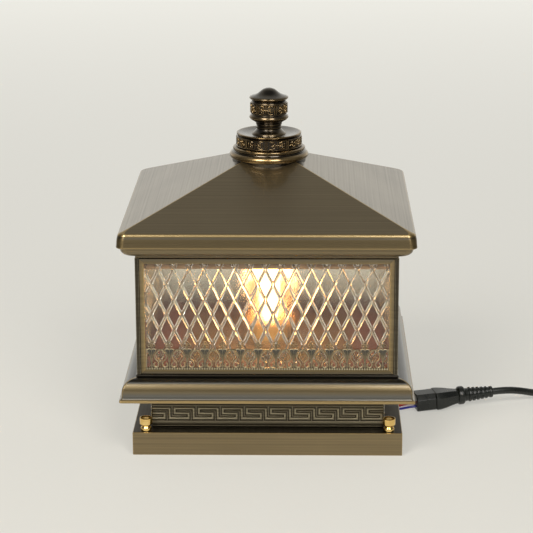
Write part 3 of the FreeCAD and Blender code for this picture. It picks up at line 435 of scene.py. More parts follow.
def cream_plastic():
    return moulded("cream_plastic", (0.76, 0.72, 0.60, 1), (0.84, 0.80, 0.68, 1), 0.4, 0.02)


def black_plastic():
    return moulded("black_plastic", (0.008, 0.0095, 0.008, 1), (0.015, 0.017, 0.014, 1), 0.29, 0.03)


def insulation(colour, low, high):
    return moulded(colour + "_insulation", low, high, 0.35, 0.01)


def black_strap():
    """A woven strap: two crossed sets of threads."""
    material, tree, shader = new_material("black_strap")
    weft = node(tree, "ShaderNodeTexWave", {"Vector": place_on(tree, 1), "Scale": 900.0})
    threads = maths(tree, "MULTIPLY", weft.outputs["Fac"], noise(tree, 1800, 1.0))
    colour = blended(tree, threads, (0.012, 0.012, 0.013, 1), (0.05, 0.05, 0.052, 1))
    fill(tree, shader, {"Base Color": colour, "Roughness": 0.85})
    roughened(tree, shader, threads, 0.12, 0.8)
    return material


def patterned_glass():
    """Clear cast glass with a stippled face and cloudier ridges, which lets the lamp's light through."""
    material, tree, shader = new_material("patterned_glass")
    ridge = wear_and_light_value(tree)
    fill(tree, shader, {
        "Base Color": blended(tree, ramp(tree, ridge, 0, 1), (0.97, 0.94, 0.86, 1), (0.66, 0.58, 0.43, 1)),
        "Roughness": mixed(tree, ridge, 0.02, 0.16),
        "IOR": 1.5,
        "Transmission Weight": mixed(tree, ridge, 1.0, 0.87),
    })
    roughened(tree, shader, ramp(tree, noise(tree, 900, 2.5, 0.6), 0.35, 0.7), 0.08, 0.6)
    clear = node(tree, "ShaderNodeBsdfTransparent", {"Color": (0.93, 0.94, 0.92, 1)})
    shadow = node(tree, "ShaderNodeLightPath").outputs["Is Shadow Ray"]
    mix = node(tree, "ShaderNodeMixShader", {0: shadow, 1: shader.outputs[0], 2: clear.outputs[0]})
    fill(tree, tree.nodes["Material Output"], {"Surface": mix.outputs[0]})
    return material


# The lamp's bright sides in metres: how wide they are from a foot to a shoulder, and how they fade
glow_reach = (0.098, 0.150, 0.002, 0.008)
glow_edge = (0.003, -0.001)
glow_strength = (0.5, 42.0)


def lamp_glow():
    """The lit opal lamp, brightest on the four sides that face the windows."""
    material, tree, shader = new_material("lamp_glow")
    across, deep, height = off_centre(tree)
    reach = between(tree, height, *glow_reach)
    beside = maths(tree, "SUBTRACT", maths(tree, "MINIMUM", across, deep), reach)
    hot = ramp(tree, beside, *glow_edge)
    fill(tree, shader, {
        "Base Color": (0.9, 0.8, 0.65, 1),
        "Roughness": 0.3,
        "Emission Color": blended(tree, hot, (1.0, 0.42, 0.10, 1), (1.0, 0.58, 0.22, 1)),
        "Emission Strength": mixed(tree, hot, *glow_strength),
    })
    return material


def make_materials():
    """Every finish, under the name of its slot in the record."""
    makers = (
        antique_bronze, worn_bronze, dark_bronze, polished_brass, galvanised_steel, contact_brass,
        lamp_cap_alloy, white_ceramic, black_rubber, cream_plastic, black_plastic, black_strap,
        patterned_glass, lamp_glow,
    )
    made = {maker.__name__: maker() for maker in makers}
    made["red_insulation"] = insulation("red", (0.36, 0.012, 0.008, 1), (0.46, 0.02, 0.012, 1))
    made["white_insulation"] = insulation("white", (0.70, 0.66, 0.70, 1), (0.80, 0.77, 0.80, 1))
    made["blue_insulation"] = insulation("blue", (0.010, 0.012, 0.20, 1), (0.018, 0.02, 0.30, 1))
    made["brown_insulation"] = insulation("brown", (0.10, 0.04, 0.02, 1), (0.16, 0.07, 0.04, 1))
    return made


def dress_nodes():
    """Give every node of the construction its finish."""
    for part in frame["record"]["subparts"]:
        slots = frame["nodes"][part["node"]].material_slots
        for slot in slots:
            slot.material = finishes[part["material_slot"]]


# Shape helpers, in millimetres

# Value of the wear-and-light layer that blackens a surface as painted shade
painted_black_level = -2.0


def wear_and_light_layer(bm):
    """The corner layer that says how far a face is rubbed back to gold or given a painted highlight, and under 0 how
    far painted shade darkens it.
    """
    return bm.loops.layers.float.get("wear_and_painted_light") or bm.loops.layers.float.new("wear_and_painted_light")


def new_shape():
    bm = bmesh.new()
    wear_and_light_layer(bm)
    return bm


def paint(bm, faces, wear_and_painted_light):
    """Give faces one value of wear and painted light, or each of their corners the value of its vertex."""
    layer = wear_and_light_layer(bm)
    for face in faces:
        for loop in face.loops:
            loop[layer] = wear_and_painted_light[loop.vert] if isinstance(wear_and_painted_light, dict) else wear_and_painted_light


def arc(centre, radius, start, end, steps):
    """Points along an arc, from a start angle to an end angle in degrees."""
    angles = [math.radians(start + (end - start) * step / steps) for step in range(steps + 1)]
    return [(centre[0] + radius * math.cos(angle), centre[1] + radius * math.sin(angle)) for angle in angles]


def circle(centre, radius, count):
    """Points round a circle."""
    return arc(centre, radius, 0, 360, count)[:-1]


def skin(bm, rings, closed=False):
    """Faces from each ring of vertices to the next, and from the last to the first if it is closed."""
    faces = []
    for first, second in zip(rings, rings[1:] + rings[:1] * closed):
        for index in range(len(first)):
            after = (index + 1) % len(first)
            faces.append(bm.faces.new((first[index], first[after], second[after], second[index])))
    return faces


def loft(bm, sections, wear_and_painted_light=0.0, closed=False):
    """A skin over sections of as many points each, with flat ends or closed on itself."""
    rings = [[bm.verts.new(point) for point in section] for section in sections]
    faces = [] if closed else [bm.faces.new(rings[0][::-1]), bm.faces.new(rings[-1])]
    faces += skin(bm, rings, closed)
    paint(bm, faces, wear_and_painted_light)
    bmesh.ops.recalc_face_normals(bm, faces=faces)


def square_sweep(profile, corner_steps=6):
    """A closed ring whose four sides follow one closed profile.

    Each item is (half width, height, corner radius, wear and painted light, wear and painted highlight on the
    corner)."""
    bm = new_shape()
    rings, layer_values = [], {}
    for half, height, radius, wear_and_painted_light, corner_wear_and_highlight in profile:
        bend = arc((half - radius, radius - half), radius, -90, 0, corner_steps)
        ring = []
        for corner in range(4):
            turn = Matrix.Rotation(math.radians(90 * corner), 2)
            for step, spot in enumerate(bend):
                ring.append(bm.verts.new((*(turn @ Vector(spot)), height)))
                layer_values[ring[-1]] = max(wear_and_painted_light, corner_wear_and_highlight) if 0 < step < corner_steps else wear_and_painted_light
        rings.append(ring)
    paint(bm, skin(bm, rings, closed=True), layer_values)
    bmesh.ops.recalc_face_normals(bm, faces=bm.faces)
    return bm


def lathe(profile, segments=96):
    """A solid of revolution from an open profile of (radius, height, wear) that starts and ends on the axis."""
    bm = new_shape()
    rings, layer_values = [], {}
    for radius, height, wear_and_painted_light in profile:
        spots = circle((0, 0), radius, segments) if radius > 0 else [(0, 0)]
        rings.append([bm.verts.new((x, y, height)) for x, y in spots])
        layer_values.update((vert, wear_and_painted_light) for vert in rings[-1])
    for lower, upper in zip(rings, rings[1:]):
        for index in range(segments):
            after = (index + 1) % segments
            spots = ((lower, index), (lower, after), (upper, after), (upper, index))
            corners = list(dict.fromkeys(ring[spot % len(ring)] for ring, spot in spots))
            if len(corners) > 2:
                bm.faces.new(corners)
    paint(bm, bm.faces, layer_values)
    bmesh.ops.recalc_face_normals(bm, faces=bm.faces)
    return bm


def smooth_line(points, steps=5):
    """A smooth line through a few given points."""
    line = []
    for index in range(len(points) - 1):
        p0 = Vector(points[max(index - 1, 0)])
        p1 = Vector(points[index])
        p2 = Vector(points[index + 1])
        p3 = Vector(points[min(index + 2, len(points) - 1)])
        for step in range(steps):
            t = step / steps
            spot = 0.5 * (
                2 * p1 + (p2 - p0) * t + (2 * p0 - 5 * p1 + 4 * p2 - p3) * t ** 2
                + (3 * p1 - p0 - 3 * p2 + p3) * t ** 3
            )
            line.append((spot.x, spot.y))
    line.append(tuple(points[-1]))
    return line


# Across and up a round-topped bar, in shares of half its width and of its rise
bar_shares = ((-1, 0.35), (-0.7, 0.8), (-0.25, 1.0), (0.25, 1.0), (0.7, 0.8), (1, 0.35))


def bar(bm, points, width, rise, place, sink=0.15, wear_and_painted_light=0.7, taper=1.0, closed=False):
    """A round-topped bar along a line drawn on a face, with its foot sunk a little below the face."""
    points = [Vector(point) for point in points]
    last = len(points) - 1
    shares = ((-1, -sink / rise), *bar_shares, (1, -sink / rise))
    sections = []
    for index, here in enumerate(points):
        before = points[index - 1 if index or closed else 0]
        after = points[index + 1 if index < last else (0 if closed else last)]
        arrive = (here - before).normalized() if here != before else (after - here).normalized()
        leave = (after - here).normalized() if after != here else arrive
        along = (arrive + leave).normalized()
        mitre = 1 / max(along.dot(arrive), 0.5)
        across = Vector((-along.y, along.x)) * mitre
        half = width / 2 * (1 + (taper - 1) * index / max(last, 1))
        section = []
        for aside, high in shares:
            spot = here + across * (half * aside)
            section.append(place(spot.x, spot.y, rise * high))
        sections.append(section)
    loft(bm, sections, wear_and_painted_light, closed)


def slab(bm, low, high, wear_and_painted_light=0.0):
    """A plain block between two corners, for what other shapes cover."""
    (x0, y0, z0), (x1, y1, z1) = low, high
    corners = ((x0, y0), (x1, y0), (x1, y1), (x0, y1))
    loft(bm, [[(x, y, z) for x, y in corners] for z in (z0, z1)], wear_and_painted_light)


def plate(bm, points, place, low, high, wear_and_painted_light=0.0):
    """A flat plate with one outline, between two heights over a face."""
    loft(bm, [[place(u, v, height) for u, v in points] for height in (low, high)], wear_and_painted_light)


def bevelled(bm, width, segments=2, least_angle=40, wear_and_painted_light=1.0, beyond=-1.0):
    """Round a shape's edges, or only those further out than a distance, and give the rounding a value of wear and
    painted light: gold for a rub, black for painted shade.
    """
    edges = [
        edge for edge in bm.edges
        if len(edge.link_faces) == 2 and edge.calc_face_angle(0) > math.radians(least_angle)
        and all(max(abs(vert.co.x), abs(vert.co.y)) > beyond for vert in edge.verts)
    ]
    result = bmesh.ops.bevel(
        bm, geom=edges, offset=width, offset_type="OFFSET", segments=segments, profile=0.5,
        affect="EDGES", clamp_overlap=True,
    )
    paint(bm, result["faces"], wear_and_painted_light)
    return bm


def cut_off(bm, at, normal):
    """Take away what lies beyond a plane, and return the edges along the cut."""
    everything = bm.verts[:] + bm.edges[:] + bm.faces[:]
    cut = bmesh.ops.bisect_plane(bm, geom=everything, plane_co=at, plane_no=normal, clear_outer=True)
    return [item for item in cut["geom_cut"] if isinstance(item, bmesh.types.BMEdge)]


def copied(name, wear_and_painted_light=0.0):
    """A node's own shape, with its loose triangles joined into faces."""
    bm = new_shape()
    bm.from_mesh(frame["nodes"][name].data)
    bmesh.ops.scale(bm, vec=(1 / MM, 1 / MM, 1 / MM), verts=bm.verts)
    bmesh.ops.remove_doubles(bm, verts=bm.verts, dist=0.002)
    bmesh.ops.dissolve_limit(bm, angle_limit=math.radians(0.4), verts=bm.verts, edges=bm.edges)
    paint(bm, bm.faces, wear_and_painted_light)
    return bm


def joined(*shapes):
    """One shape from several."""
    whole = shapes[0]
    for shape in shapes[1:]:
        mesh = meshed(shape, "joining")
        whole.from_mesh(mesh)
        bpy.data.meshes.remove(mesh)
    return whole


def turned(shape, degrees, axis="Z"):
    """A shape turned about an axis."""
    matrix = Matrix.Rotation(math.radians(degrees), 3, axis)
    bmesh.ops.rotate(shape, cent=(0, 0, 0), matrix=matrix, verts=shape.verts)
    return shape


def copies_tree():
    """A tree of nodes that sets copies of one unit in a row or a ring."""
    tree = bpy.data.node_groups.new("copies", "GeometryNodeTree")
    sockets = (
        ("Unit", "NodeSocketObject"), ("Count", "NodeSocketInt"), ("First", "NodeSocketVector"),
        ("Step", "NodeSocketVector"), ("Turn", "NodeSocketFloat"), ("Finish", "NodeSocketMaterial"),
    )
    for name, kind in sockets:
        tree.interface.new_socket(name=name, in_out="INPUT", socket_type=kind)
    tree.interface.new_socket(name="Geometry", in_out="OUTPUT", socket_type="NodeSocketGeometry")
    given = node(tree, "NodeGroupInput").outputs
    line = node(tree, "GeometryNodeMeshLine", {
        "Count": given["Count"], "Start Location": given["First"], "Offset": given["Step"],
    }, mode="OFFSET")
    unit = node(tree, "GeometryNodeObjectInfo", {"Object": given["Unit"]})
    index = node(tree, "GeometryNodeInputIndex").outputs[0]
    angle = node(tree, "ShaderNodeMath", {0: index, 1: given["Turn"]}, operation="MULTIPLY").outputs[0]
    spin = node(tree, "ShaderNodeCombineXYZ", {"Z": angle}).outputs[0]
    spread = node(tree, "GeometryNodeInstanceOnPoints", {
        "Points": line.outputs["Mesh"], "Instance": unit.outputs["Geometry"], "Rotation": spin,
    })
    real = node(tree, "GeometryNodeRealizeInstances", {"Geometry": spread.outputs["Instances"]})
    painted = node(tree, "GeometryNodeSetMaterial", {
        "Geometry": real.outputs["Geometry"], "Material": given["Finish"],
    })
    node(tree, "NodeGroupOutput", {"Geometry": painted.outputs["Geometry"]})
    return tree


def baked(thing):
    """The mesh of an object as its modifiers leave it."""
    graph = bpy.context.evaluated_depsgraph_get()
    graph.update()
    return bpy.data.meshes.new_from_object(thing.evaluated_get(graph), preserve_all_data_layers=True, depsgraph=graph)


def copies(unit_shape, count, finish, first=(0, 0, 0), step=(0, 0, 0), turn=0.0):
    """A shape of so many copies of a unit, in a row by a step or in a ring by a turn in degrees."""
    unit = new_object("unit", meshed(unit_shape, "unit"))
    holder = new_object("holder", bpy.data.meshes.new("holder"))
    modifier = holder.modifiers.new("copies", "NODES")
    modifier.node_group = tree_of_copies
    values = {
        "Unit": unit, "Count": count, "First": Vector(first), "Step": Vector(step),
        "Turn": math.radians(turn), "Finish": finishes[finish],
    }
    for item in tree_of_copies.interface.items_tree:
        if item.in_out == "INPUT":
            modifier[item.identifier] = values[item.name]
    mesh = baked(holder)
    bm = bmesh.new()
    bm.from_mesh(mesh)
    for thing in (unit, holder):
        data = thing.data
        bpy.data.objects.remove(thing)
        bpy.data.meshes.remove(data)
    bpy.data.meshes.remove(mesh)
    return bm


def grain_directions(face, is_round):
    """The direction of the brush marks on a face, and the direction across them."""
    normal = face.normal
    centre = face.calc_center_median()
    if is_round:
        along = Vector((-centre.y, centre.x, 0))
    else:
        along = Vector((-normal.y, normal.x, 0))
        if along.length < 0.2:
            along = Vector((0, 1, 0)) if abs(centre.x) > abs(centre.y) else Vector((1, 0, 0))
    if along.length < 1e-6:
        along = Vector((1, 0, 0))
    along.normalize()
    return along, normal.cross(along)


def finish_piece(name, bm, body, slot, stands_for, is_round=False, sharp=35, even=True):
    """Turn a finished shape into a piece of the light: scale it, map its grain and shade it."""
    bm.normal_update()
    grain = bm.loops.layers.uv.get("grain") or bm.loops.layers.uv.new("grain")
    for face in bm.faces:
        face.smooth = True
        face.material_index = 0
        along, across = grain_directions(face, is_round)
        for loop in face.loops:
            spot = loop.vert.co
            loop[grain].uv = (spot.dot(along) * MM, spot.dot(across) * MM)
    for edge in bm.edges:
        edge.smooth = len(edge.link_faces) == 2 and edge.calc_face_angle(0) < math.radians(sharp)
    bmesh.ops.scale(bm, vec=(MM, MM, MM), verts=bm.verts)
    mesh = meshed(bm, name)
    made = new_object(name, mesh)
    if even:
        modifier = made.modifiers.new("even", "WEIGHTED_NORMAL")
        modifier.keep_sharp = True
        made.data = baked(made)
        made.data.name = name
        made.modifiers.remove(modifier)
        bpy.data.meshes.remove(mesh)
    made.data.materials.clear()
    made.data.materials.append(finishes[slot])
    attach(made, body)
    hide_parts(*stands_for)
    return made


def finish_sides(name, shape, slot, stands_for, **shading):
    """A shape as a piece of its own on each of the four sides."""
    mesh = meshed(shape, name)
    for side, degrees in SIDES.items():
        piece = bmesh.new()
        piece.from_mesh(mesh)
        turned(piece, degrees)
        finish_piece(name + side, piece, "lantern", slot, [stands_for + side], **shading)
    bpy.data.meshes.remove(mesh)


# Base box, plinth and pan
box_round = 0.7
pan_round = 1.2
rim_depth = 0.1
plinth_wall = 1.5


def make_base_box():
    bm = copied("base_box", 0.14)
    bm.normal_update()
    # The top faces are blackened as painted shade under the tray.
    paint(bm, [face for face in bm.faces if face.normal.z > 0.9], painted_black_level)
    bevelled(bm, box_round, wear_and_painted_light=0.6, beyond=span("base_box")[1].x - rim_depth)
    finish_piece("base_box_shell", bm, "lantern", "antique_bronze", ["base_box"])


def make_plinth():
    low, high = span("plinth")
    inner = high.x - plinth_wall
    # The outer faces are darkened between grey and black as painted shade under the tray.
    profile = [
        (high.x, low.z, 0.4, -1.5, 0), (high.x, high.z, 0.4, -1.5, 0),
        (inner, high.z, 0.1, 0, 0), (inner, low.z, 0.1, 0, 0),
    ]
    finish_piece("plinth_tube", square_sweep(profile, 3), "lantern", "antique_bronze", ["plinth"])


def make_pan():
    edge = span("floor_pan")[1].x - rim_depth
    # The pan is blackened all over; its rim shows as painted shade between the window frames and the tray.
    bm = bevelled(copied("floor_pan", painted_black_level), pan_round, 3, wear_and_painted_light=painted_black_level, beyond=edge)
    finish_piece("pan", bm, "lantern", "antique_bronze", ["floor_pan"])


# Tray: its sizes, the shares of its ovolo's top that are blackened as painted shade, and the steps under the ovolo,
# which are (in from the lip, over the foot, wear and under 0 a painted grey reflection on the cove, wear on the
# corner)
tray_round = 1.6
tray_neck = 2.4
tray_lip = 2.9
tray_cove_top = 6.5
tray_fillet_top = 9.7
tray_ovolo_r = 10.8
tray_wall = 1.3
tray_foot_hole = 98.0
tray_top_hole = 104.0
tray_shade_share = 0.66
tray_shade_fade = 0.2
tray_steps = (
    (0.9, 0, 0.2, 0.4), (0.25, 0.3, 0.5, 0.8), (0, 0.9, 0.75, 0.9), (0, 2.1, 0.75, 0.9), (0.3, 2.7, 0.6, 0.9),
    (0.9, 3.0, 0, 0.3), (1.7, 3.4, -0.7, 0), (2.2, 4.3, -0.9, 0.1), (2.4, 6.5, -0.9, 0.2), (2.4, 9.2, -0.3, 0.3),
)


def make_tray():
    low, high = span("moulding")
    lip, foot, wall = high.x, low.z, tray_wall
    neck = lip - tray_neck
    centre = (neck - tray_ovolo_r, foot + tray_fillet_top)
    profile = [(tray_foot_hole, foot, 0.1, 0, 0)]
    for inward, height, wear_and_painted_light, corner_wear_and_highlight in tray_steps:
        profile.append((lip - inward, foot + height, tray_round, wear_and_painted_light, corner_wear_and_highlight))
    # The ovolo's top is blackened as painted shade, fading in over its upper part.
    for x, z in arc(centre, tray_ovolo_r, 4, 90, 16):
        share = (z - centre[1]) / tray_ovolo_r
        dark = min(max((share - tray_shade_share) / tray_shade_fade, 0), 1)
        profile.append((x, z, tray_round, painted_black_level * dark, 0.6))
    profile += [
        (tray_top_hole, high.z, 0.1, 0, 0), (tray_top_hole, high.z - wall, 0.1, 0, 0),
        (centre[0] - 1, high.z - wall, 0.5, 0, 0),
    ]
    profile += [(x, z, 0.5, 0, 0) for x, z in arc(centre, tray_ovolo_r - wall, 80, 5, 5)]
    profile += [
        (neck - wall, foot + tray_cove_top, 0.5, 0, 0),
        (lip - wall - 0.6, foot + tray_lip, 0.5, 0, 0),
        (lip - wall, foot + wall, 0.5, 0, 0),
        (tray_foot_hole, foot + wall, 0.1, 0, 0),
    ]
    finish_piece("moulded_tray", square_sweep(profile, 4), "lantern", "antique_bronze", ["moulding"])


# Key band: the keys, in shares of their pitch across and of their height up, and the lines along the
# band, which are (height of the middle, width, rise, wear)
key_pitch = 22.45
key_middle = -1.6
key_line = 1.9
key_fine_line = 1.0
key_rise = 0.95
key_low = 8.0
key_high = 17.9
key_shares = ((0, 1), (0, 0), (0.794, 0), (0.794, 0.5), (0.214, 0.5), (0.214, 1), (1, 1))
key_down_shares = ((0.105, 1.28), (0.105, 0.25), (0.70, 0.25))
key_up_shares = ((0.895, -0.3), (0.895, 0.755), (0.315, 0.755))
key_fine_share = 0.75
band_relief = 0.7
band_lines = ((3.8, 4.0, 1.0, 0.25), (20.7, 1.3, 0.9, 0.45), (0.7, 1.2, 0.5, 0.2))


def make_key_bands():
    """The four bands with their running key pattern."""
    low, high = span("key_band_front")
    half, back, foot = high.x, high.y, low.z
    face = back - band_relief

    def place(u, v, h):
        return Vector((u, face - h, foot + v))

    unit = new_shape()
    fine_rise = key_rise * key_fine_share
    for shares, width, rise, wear_and_painted_light in (
        (key_shares, key_line, key_rise, 0.6),
        (key_down_shares, key_fine_line, fine_rise, 0.35),
        (key_up_shares, key_fine_line, fine_rise, 0.35),
    ):
        line = [(u * key_pitch, key_low + v * (key_high - key_low)) for u, v in shares]
        bar(unit, line, width, rise, place, wear_and_painted_light=wear_and_painted_light)
    count = 2 * (int(half / key_pitch) + 1)
    first = (key_middle - count / 2 * key_pitch, 0, 0)
    keys = copies(unit, count, "worn_bronze", first, (key_pitch, 0, 0))
    for side in (-1, 1):
        bmesh.ops.holes_fill(keys, edges=cut_off(keys, (side * half, 0, 0), (side, 0, 0)), sides=0)
    slab(keys, (-half, face, foot), (half, back, high.z))
    for middle, width, rise, wear_and_painted_light in band_lines:
        bar(keys, [(-half, middle), (half, middle)], width, rise, place, wear_and_painted_light=wear_and_painted_light)
    finish_sides("key_pattern_", keys, "worn_bronze", "key_band_", sharp=50, even=False)


# Window frame: (share of its width inwards, depth over its back, wear and painted light, which blackens the outer
# edge as painted shade beside the post), its widths and its seams
frame_shares = (
    (0, 0, painted_black_level), (0, 0.95, painted_black_level), (0.09, 1.2, painted_black_level), (0.13, 1.2, 0.1), (0.2, 1.05, -0.3), (0.8, 0.4, 0.15),
    (0.88, 0.5, 0.35), (1.0, 0.3, 0.2), (1.0, 0, 0),
)
frame_side = 4.5
frame_foot = 4.1
frame_head = 5.2
upright_sheen = 0.35
seam_half = 0.22
seam_rise = 0.14


def add_seams(bm, low, high):
    """The thin seam along each mitre of a window frame."""
    for x_side in (-1, 1):
        for edge_z, width, z_side in ((low.z, frame_foot, 1), (high.z, frame_head, -1)):
            sections = []
            for share, depth, _ in frame_shares[2:-2]:
                x = x_side * (high.x - share * frame_side)
                z = edge_z + z_side * share * width
                y = high.y - depth
                tilt = x_side * z_side * seam_half
                sections.append([
                    (x - seam_half, y + seam_half, z - tilt), (x + seam_half, y + seam_half, z + tilt),
                    (x, y - seam_rise, z),
                ])
            loft(bm, sections, 0.9)


def make_window_frames():
    """The four mitred frames with sloping faces, whose outer edges are blackened as painted shade and whose uprights
    get extra gold as a painted sheen.
    """
    low, high = span("window_frame_front")
    bm = new_shape()
    rings, layer_values = [], {}
    for share, depth, wear_and_painted_light in frame_shares:
        x, y = high.x - share * frame_side, high.y - depth
        z0, z1 = low.z + share * frame_foot, high.z - share * frame_head
        rings.append([bm.verts.new(spot) for spot in ((-x, y, z0), (x, y, z0), (x, y, z1), (-x, y, z1))])
        layer_values.update((vert, wear_and_painted_light) for vert in rings[-1])
    faces = skin(bm, rings, closed=True)
    paint(bm, faces, layer_values)
    # The uprights get extra gold as a painted sheen.
    layer = wear_and_light_layer(bm)
    for index, face in enumerate(faces):
        if index % 2 and frame_shares[index // 4][2] > -1:
            for loop in face.loops:
                loop[layer] += upright_sheen
    bmesh.ops.recalc_face_normals(bm, faces=bm.faces)
    add_seams(bm, low, high)
    finish_sides("frame_", bm, "antique_bronze", "window_frame_", sharp=30)


post_round = 0.45


def make_posts():
    """The four corner posts, with their outer edges rubbed."""
    for corner in CORNERS:
        bm = bevelled(copied("post_" + corner), post_round, wear_and_painted_light=0.3)
        finish_piece("corner_post_" + corner, bm, "lantern", "worn_bronze", ["post_" + corner])


# Head of the body: the frame over the posts, with a strip that hangs behind the panes
head_strip_drop = 12.0
head_strip_gap = 2.0
head_strip_thick = 1.0
head_overlap = 0.2
head_round = 0.4


def make_head():
    bm = bevelled(copied("top_frame"), head_round, wear_and_painted_light=0.4)
    low = span("top_frame")[0]
    outer = -span("glass_pane_front")[1].y - head_strip_gap
    inner = outer - head_strip_thick
    foot, top = low.z - head_strip_drop, low.z + head_overlap
    corners = ((outer, foot), (outer, top), (inner, top), (inner, foot))
    strip = square_sweep([(half, height, 0.2, 0, 0) for half, height in corners], 2)
    finish_piece("head_frame", joined(bm, strip), "lantern", "antique_bronze", ["top_frame"])


# Cast glass: half diagonals of its diamonds, a crossing point, where its ridges end, and a ridge's rise
# over shares of a diamond's side
diamond_x = 6.975
diamond_z = 14.49
crossing_x = -8.3
crossing_z = 162.2
ridge_rise = 1.25
ridge_shares = ((0, 1.0), (0.040, 0.81), (0.088, 0.44), (0.124, 0.0), (0.3, 0.0), (0.5, 0.0))
ridge_limit = 111.6
ridge_foot = 88.0
cloudy_share = 0.3


def make_panes():
    """The four panes: flat outside, with a lattice of ridges on the inner face."""
    low, high = span("glass_pane_front")
    half = high.x
    shares = ridge_shares + tuple((1 - share, rise) for share, rise in ridge_shares[-2:0:-1])
    count = len(shares)
    reach = int(half / diamond_x + (high.z - low.z) / diamond_z) + 3
    bm = new_shape()
    spots, ridges = {}, {}

    def lattice(p, q):
        return crossing_x + diamond_x * (p + q), crossing_z + diamond_z * (p - q)

    def spot_at(i, j):
        """The vertex at so many steps along the two ways of the lattice."""
        if (i, j) not in spots:
            (p, p_rise), (q, q_rise) = shares[i % count], shares[j % count]
            x, z = lattice(i // count + p, j // count + q)
            rise = 0.0 if abs(x) > ridge_limit or z < ridge_foot else max(p_rise, q_rise)
            spots[i, j] = bm.verts.new((x, high.y + ridge_rise * rise, z))
            ridges[spots[i, j]] = 1.0 if rise > cloudy_share else 0.0
        return spots[i, j]

    for p in range(-reach, reach):
        for q in range(-reach, reach):
            x, z = lattice(p + 0.5, q + 0.5)
            if abs(x) > half + 2 * diamond_x or not low.z - 2 * diamond_z <= z <= high.z + 2 * diamond_z:
                continue
            for i in range(p * count, p * count + count):
                for j in range(q * count, q * count + count):
                    bm.faces.new([spot_at(i + di, j + dj) for di, dj in ((0, 0), (1, 0), (1, 1), (0, 1))])
    paint(bm, bm.faces, ridges)
    for side in (1, -1):
        cut_off(bm, (side * half, 0, 0), (side, 0, 0))
    for height, side in ((high.z, 1), (low.z, -1)):
        cut_off(bm, (0, 0, height), (0, 0, side))
    rim = [edge for edge in bm.edges if len(edge.link_faces) == 1]
    grown = bmesh.ops.extrude_edge_only(bm, edges=rim)["geom"]
    for item in grown:
        if isinstance(item, bmesh.types.BMVert):
            item.co.y = low.y
    edges = [item for item in grown if isinstance(item, bmesh.types.BMEdge) and len(item.link_faces) == 1]
    bmesh.ops.holes_fill(bm, edges=edges, sides=0)
    bmesh.ops.recalc_face_normals(bm, faces=bm.faces)
    finish_sides("pane_", bm, "patterned_glass", "glass_pane_", sharp=40, even=False)


# Cast strip at the foot of each pane: how often its pattern repeats, its rail, rise, leaves, how far the leaves'
# ground is darkened towards black, and beads
strip_count = 14
strip_rail = 2.0
leaf_top = 16.9
strip_rise = 1.25
bead_pitch = 2.3
bead_r = 0.95
strip_margin = 5.66
strip_back = 0.9
strip_end = 0.6
leaf_darkening = -1.3
bead_shares = (1.0, 0.72)


def strip_bar(bm, place, points, width, rise_share, wear_and_painted_light, **more):
    """A bar of a cast strip, with its rise as a share of the strip's."""
    bar(bm, points, width, strip_rise * rise_share, place, sink=0, wear_and_painted_light=wear_and_painted_light, **more)


def twin_bars(bm, place, lines):
    """Strip bars on both sides, from lines of (points, steps between them, width, share of the rise, wear)."""
    for side in (-1, 1):
        for points, steps, width, rise_share, wear_and_painted_light in lines:
            line = smooth_line([(side * x, z) for x, z in points], steps)
            strip_bar(bm, place, line, width, rise_share, wear_and_painted_light)


def strip_stem(place):
    """A stem that opens into ribbed leaves, with a trefoil on its top."""
    bm = new_shape()
    top = leaf_top
    right = [
        (1.0, 0), (0.7, top * 0.36), (1.3, top * 0.62), (2.6, top * 0.82), (4.1, top - 0.8), (3.9, top + 0.4),
        (2.1, top + 0.9), (0.4, top + 0.1),
    ]
    plate(bm, right + [(-u, v) for u, v in reversed(right)], place, 0.05, 0.5, leaf_darkening)
    strip_bar(bm, place, [(0, -0.4), (0, top * 0.5), (0, top - 0.4)], 1.25, 1, 0.52, taper=0.6)
    twin_bars(bm, place, (
        ([(0.55, top * 0.34), (1.1, top * 0.6), (2.4, top * 0.82), (4.0, top - 0.5)], 3, 0.85, 1, 0.59),
        ([(0.35, top * 0.52), (0.8, top * 0.72), (2.1, top - 0.4)], 3, 0.65, 0.9, 0.39),
        ([(0.3, top + 0.1), (1.3, top + 0.95), (2.7, top + 0.95), (4.1, top + 0.1)], 3, 1.1, 1.1, 0.65),
        ([(0.4, 2.6), (1.2, 1.4), (2.2, 0.6)], 2, 0.7, 0.9, 0.45),
    ))
    strip_bar(bm, place, [(0, top), (0, top + 4.6)], 1.0, 0.9, 0.39)
    for centre, radius in (((-2.0, top + 4.4), 1.35), ((2.0, top + 4.4), 1.35), ((0, top + 6.9), 1.4)):
        strip_bar(bm, place, circle(centre, radius, 10), 0.8, 1, 0.49, closed=True)
    return bm


def strip_lyre(place):
    """Two S-shaped arms that end in loops round a small forked leaf."""
    bm = new_shape()
    top = leaf_top
    arm = [
        (0.6, top + 0.3), (2.6, top - 1.6), (4.9, top * 0.74), (5.4, top * 0.58), (4.2, top * 0.44),
        (2.4, top * 0.33), (1.7, top * 0.2), (2.3, top * 0.07), (4.2, 0.25), (6.0, top * 0.09), (6.1, top * 0.2),
        (5.0, top * 0.27),
    ]
    twin_bars(bm, place, (
        (arm, 3, 1.35, 1, 0.65),
        ([(0, top * 0.3), (1.5, top * 0.46), (3.3, top * 0.64)], 2, 0.95, 0.85, 0.55),
        ([(2.9, top * 0.66), (1.6, top * 0.76), (0.2, top * 0.6)], 2, 0.65, 0.8, 0.33),
    ))
    strip_bar(bm, place, [(0, -0.3), (0, top * 0.32)], 0.9, 0.85, 0.33)
    strip_bar(bm, place, [(0, top * 0.78), (0, top + 1.0)], 0.8, 0.8, 0.39)
    return bm


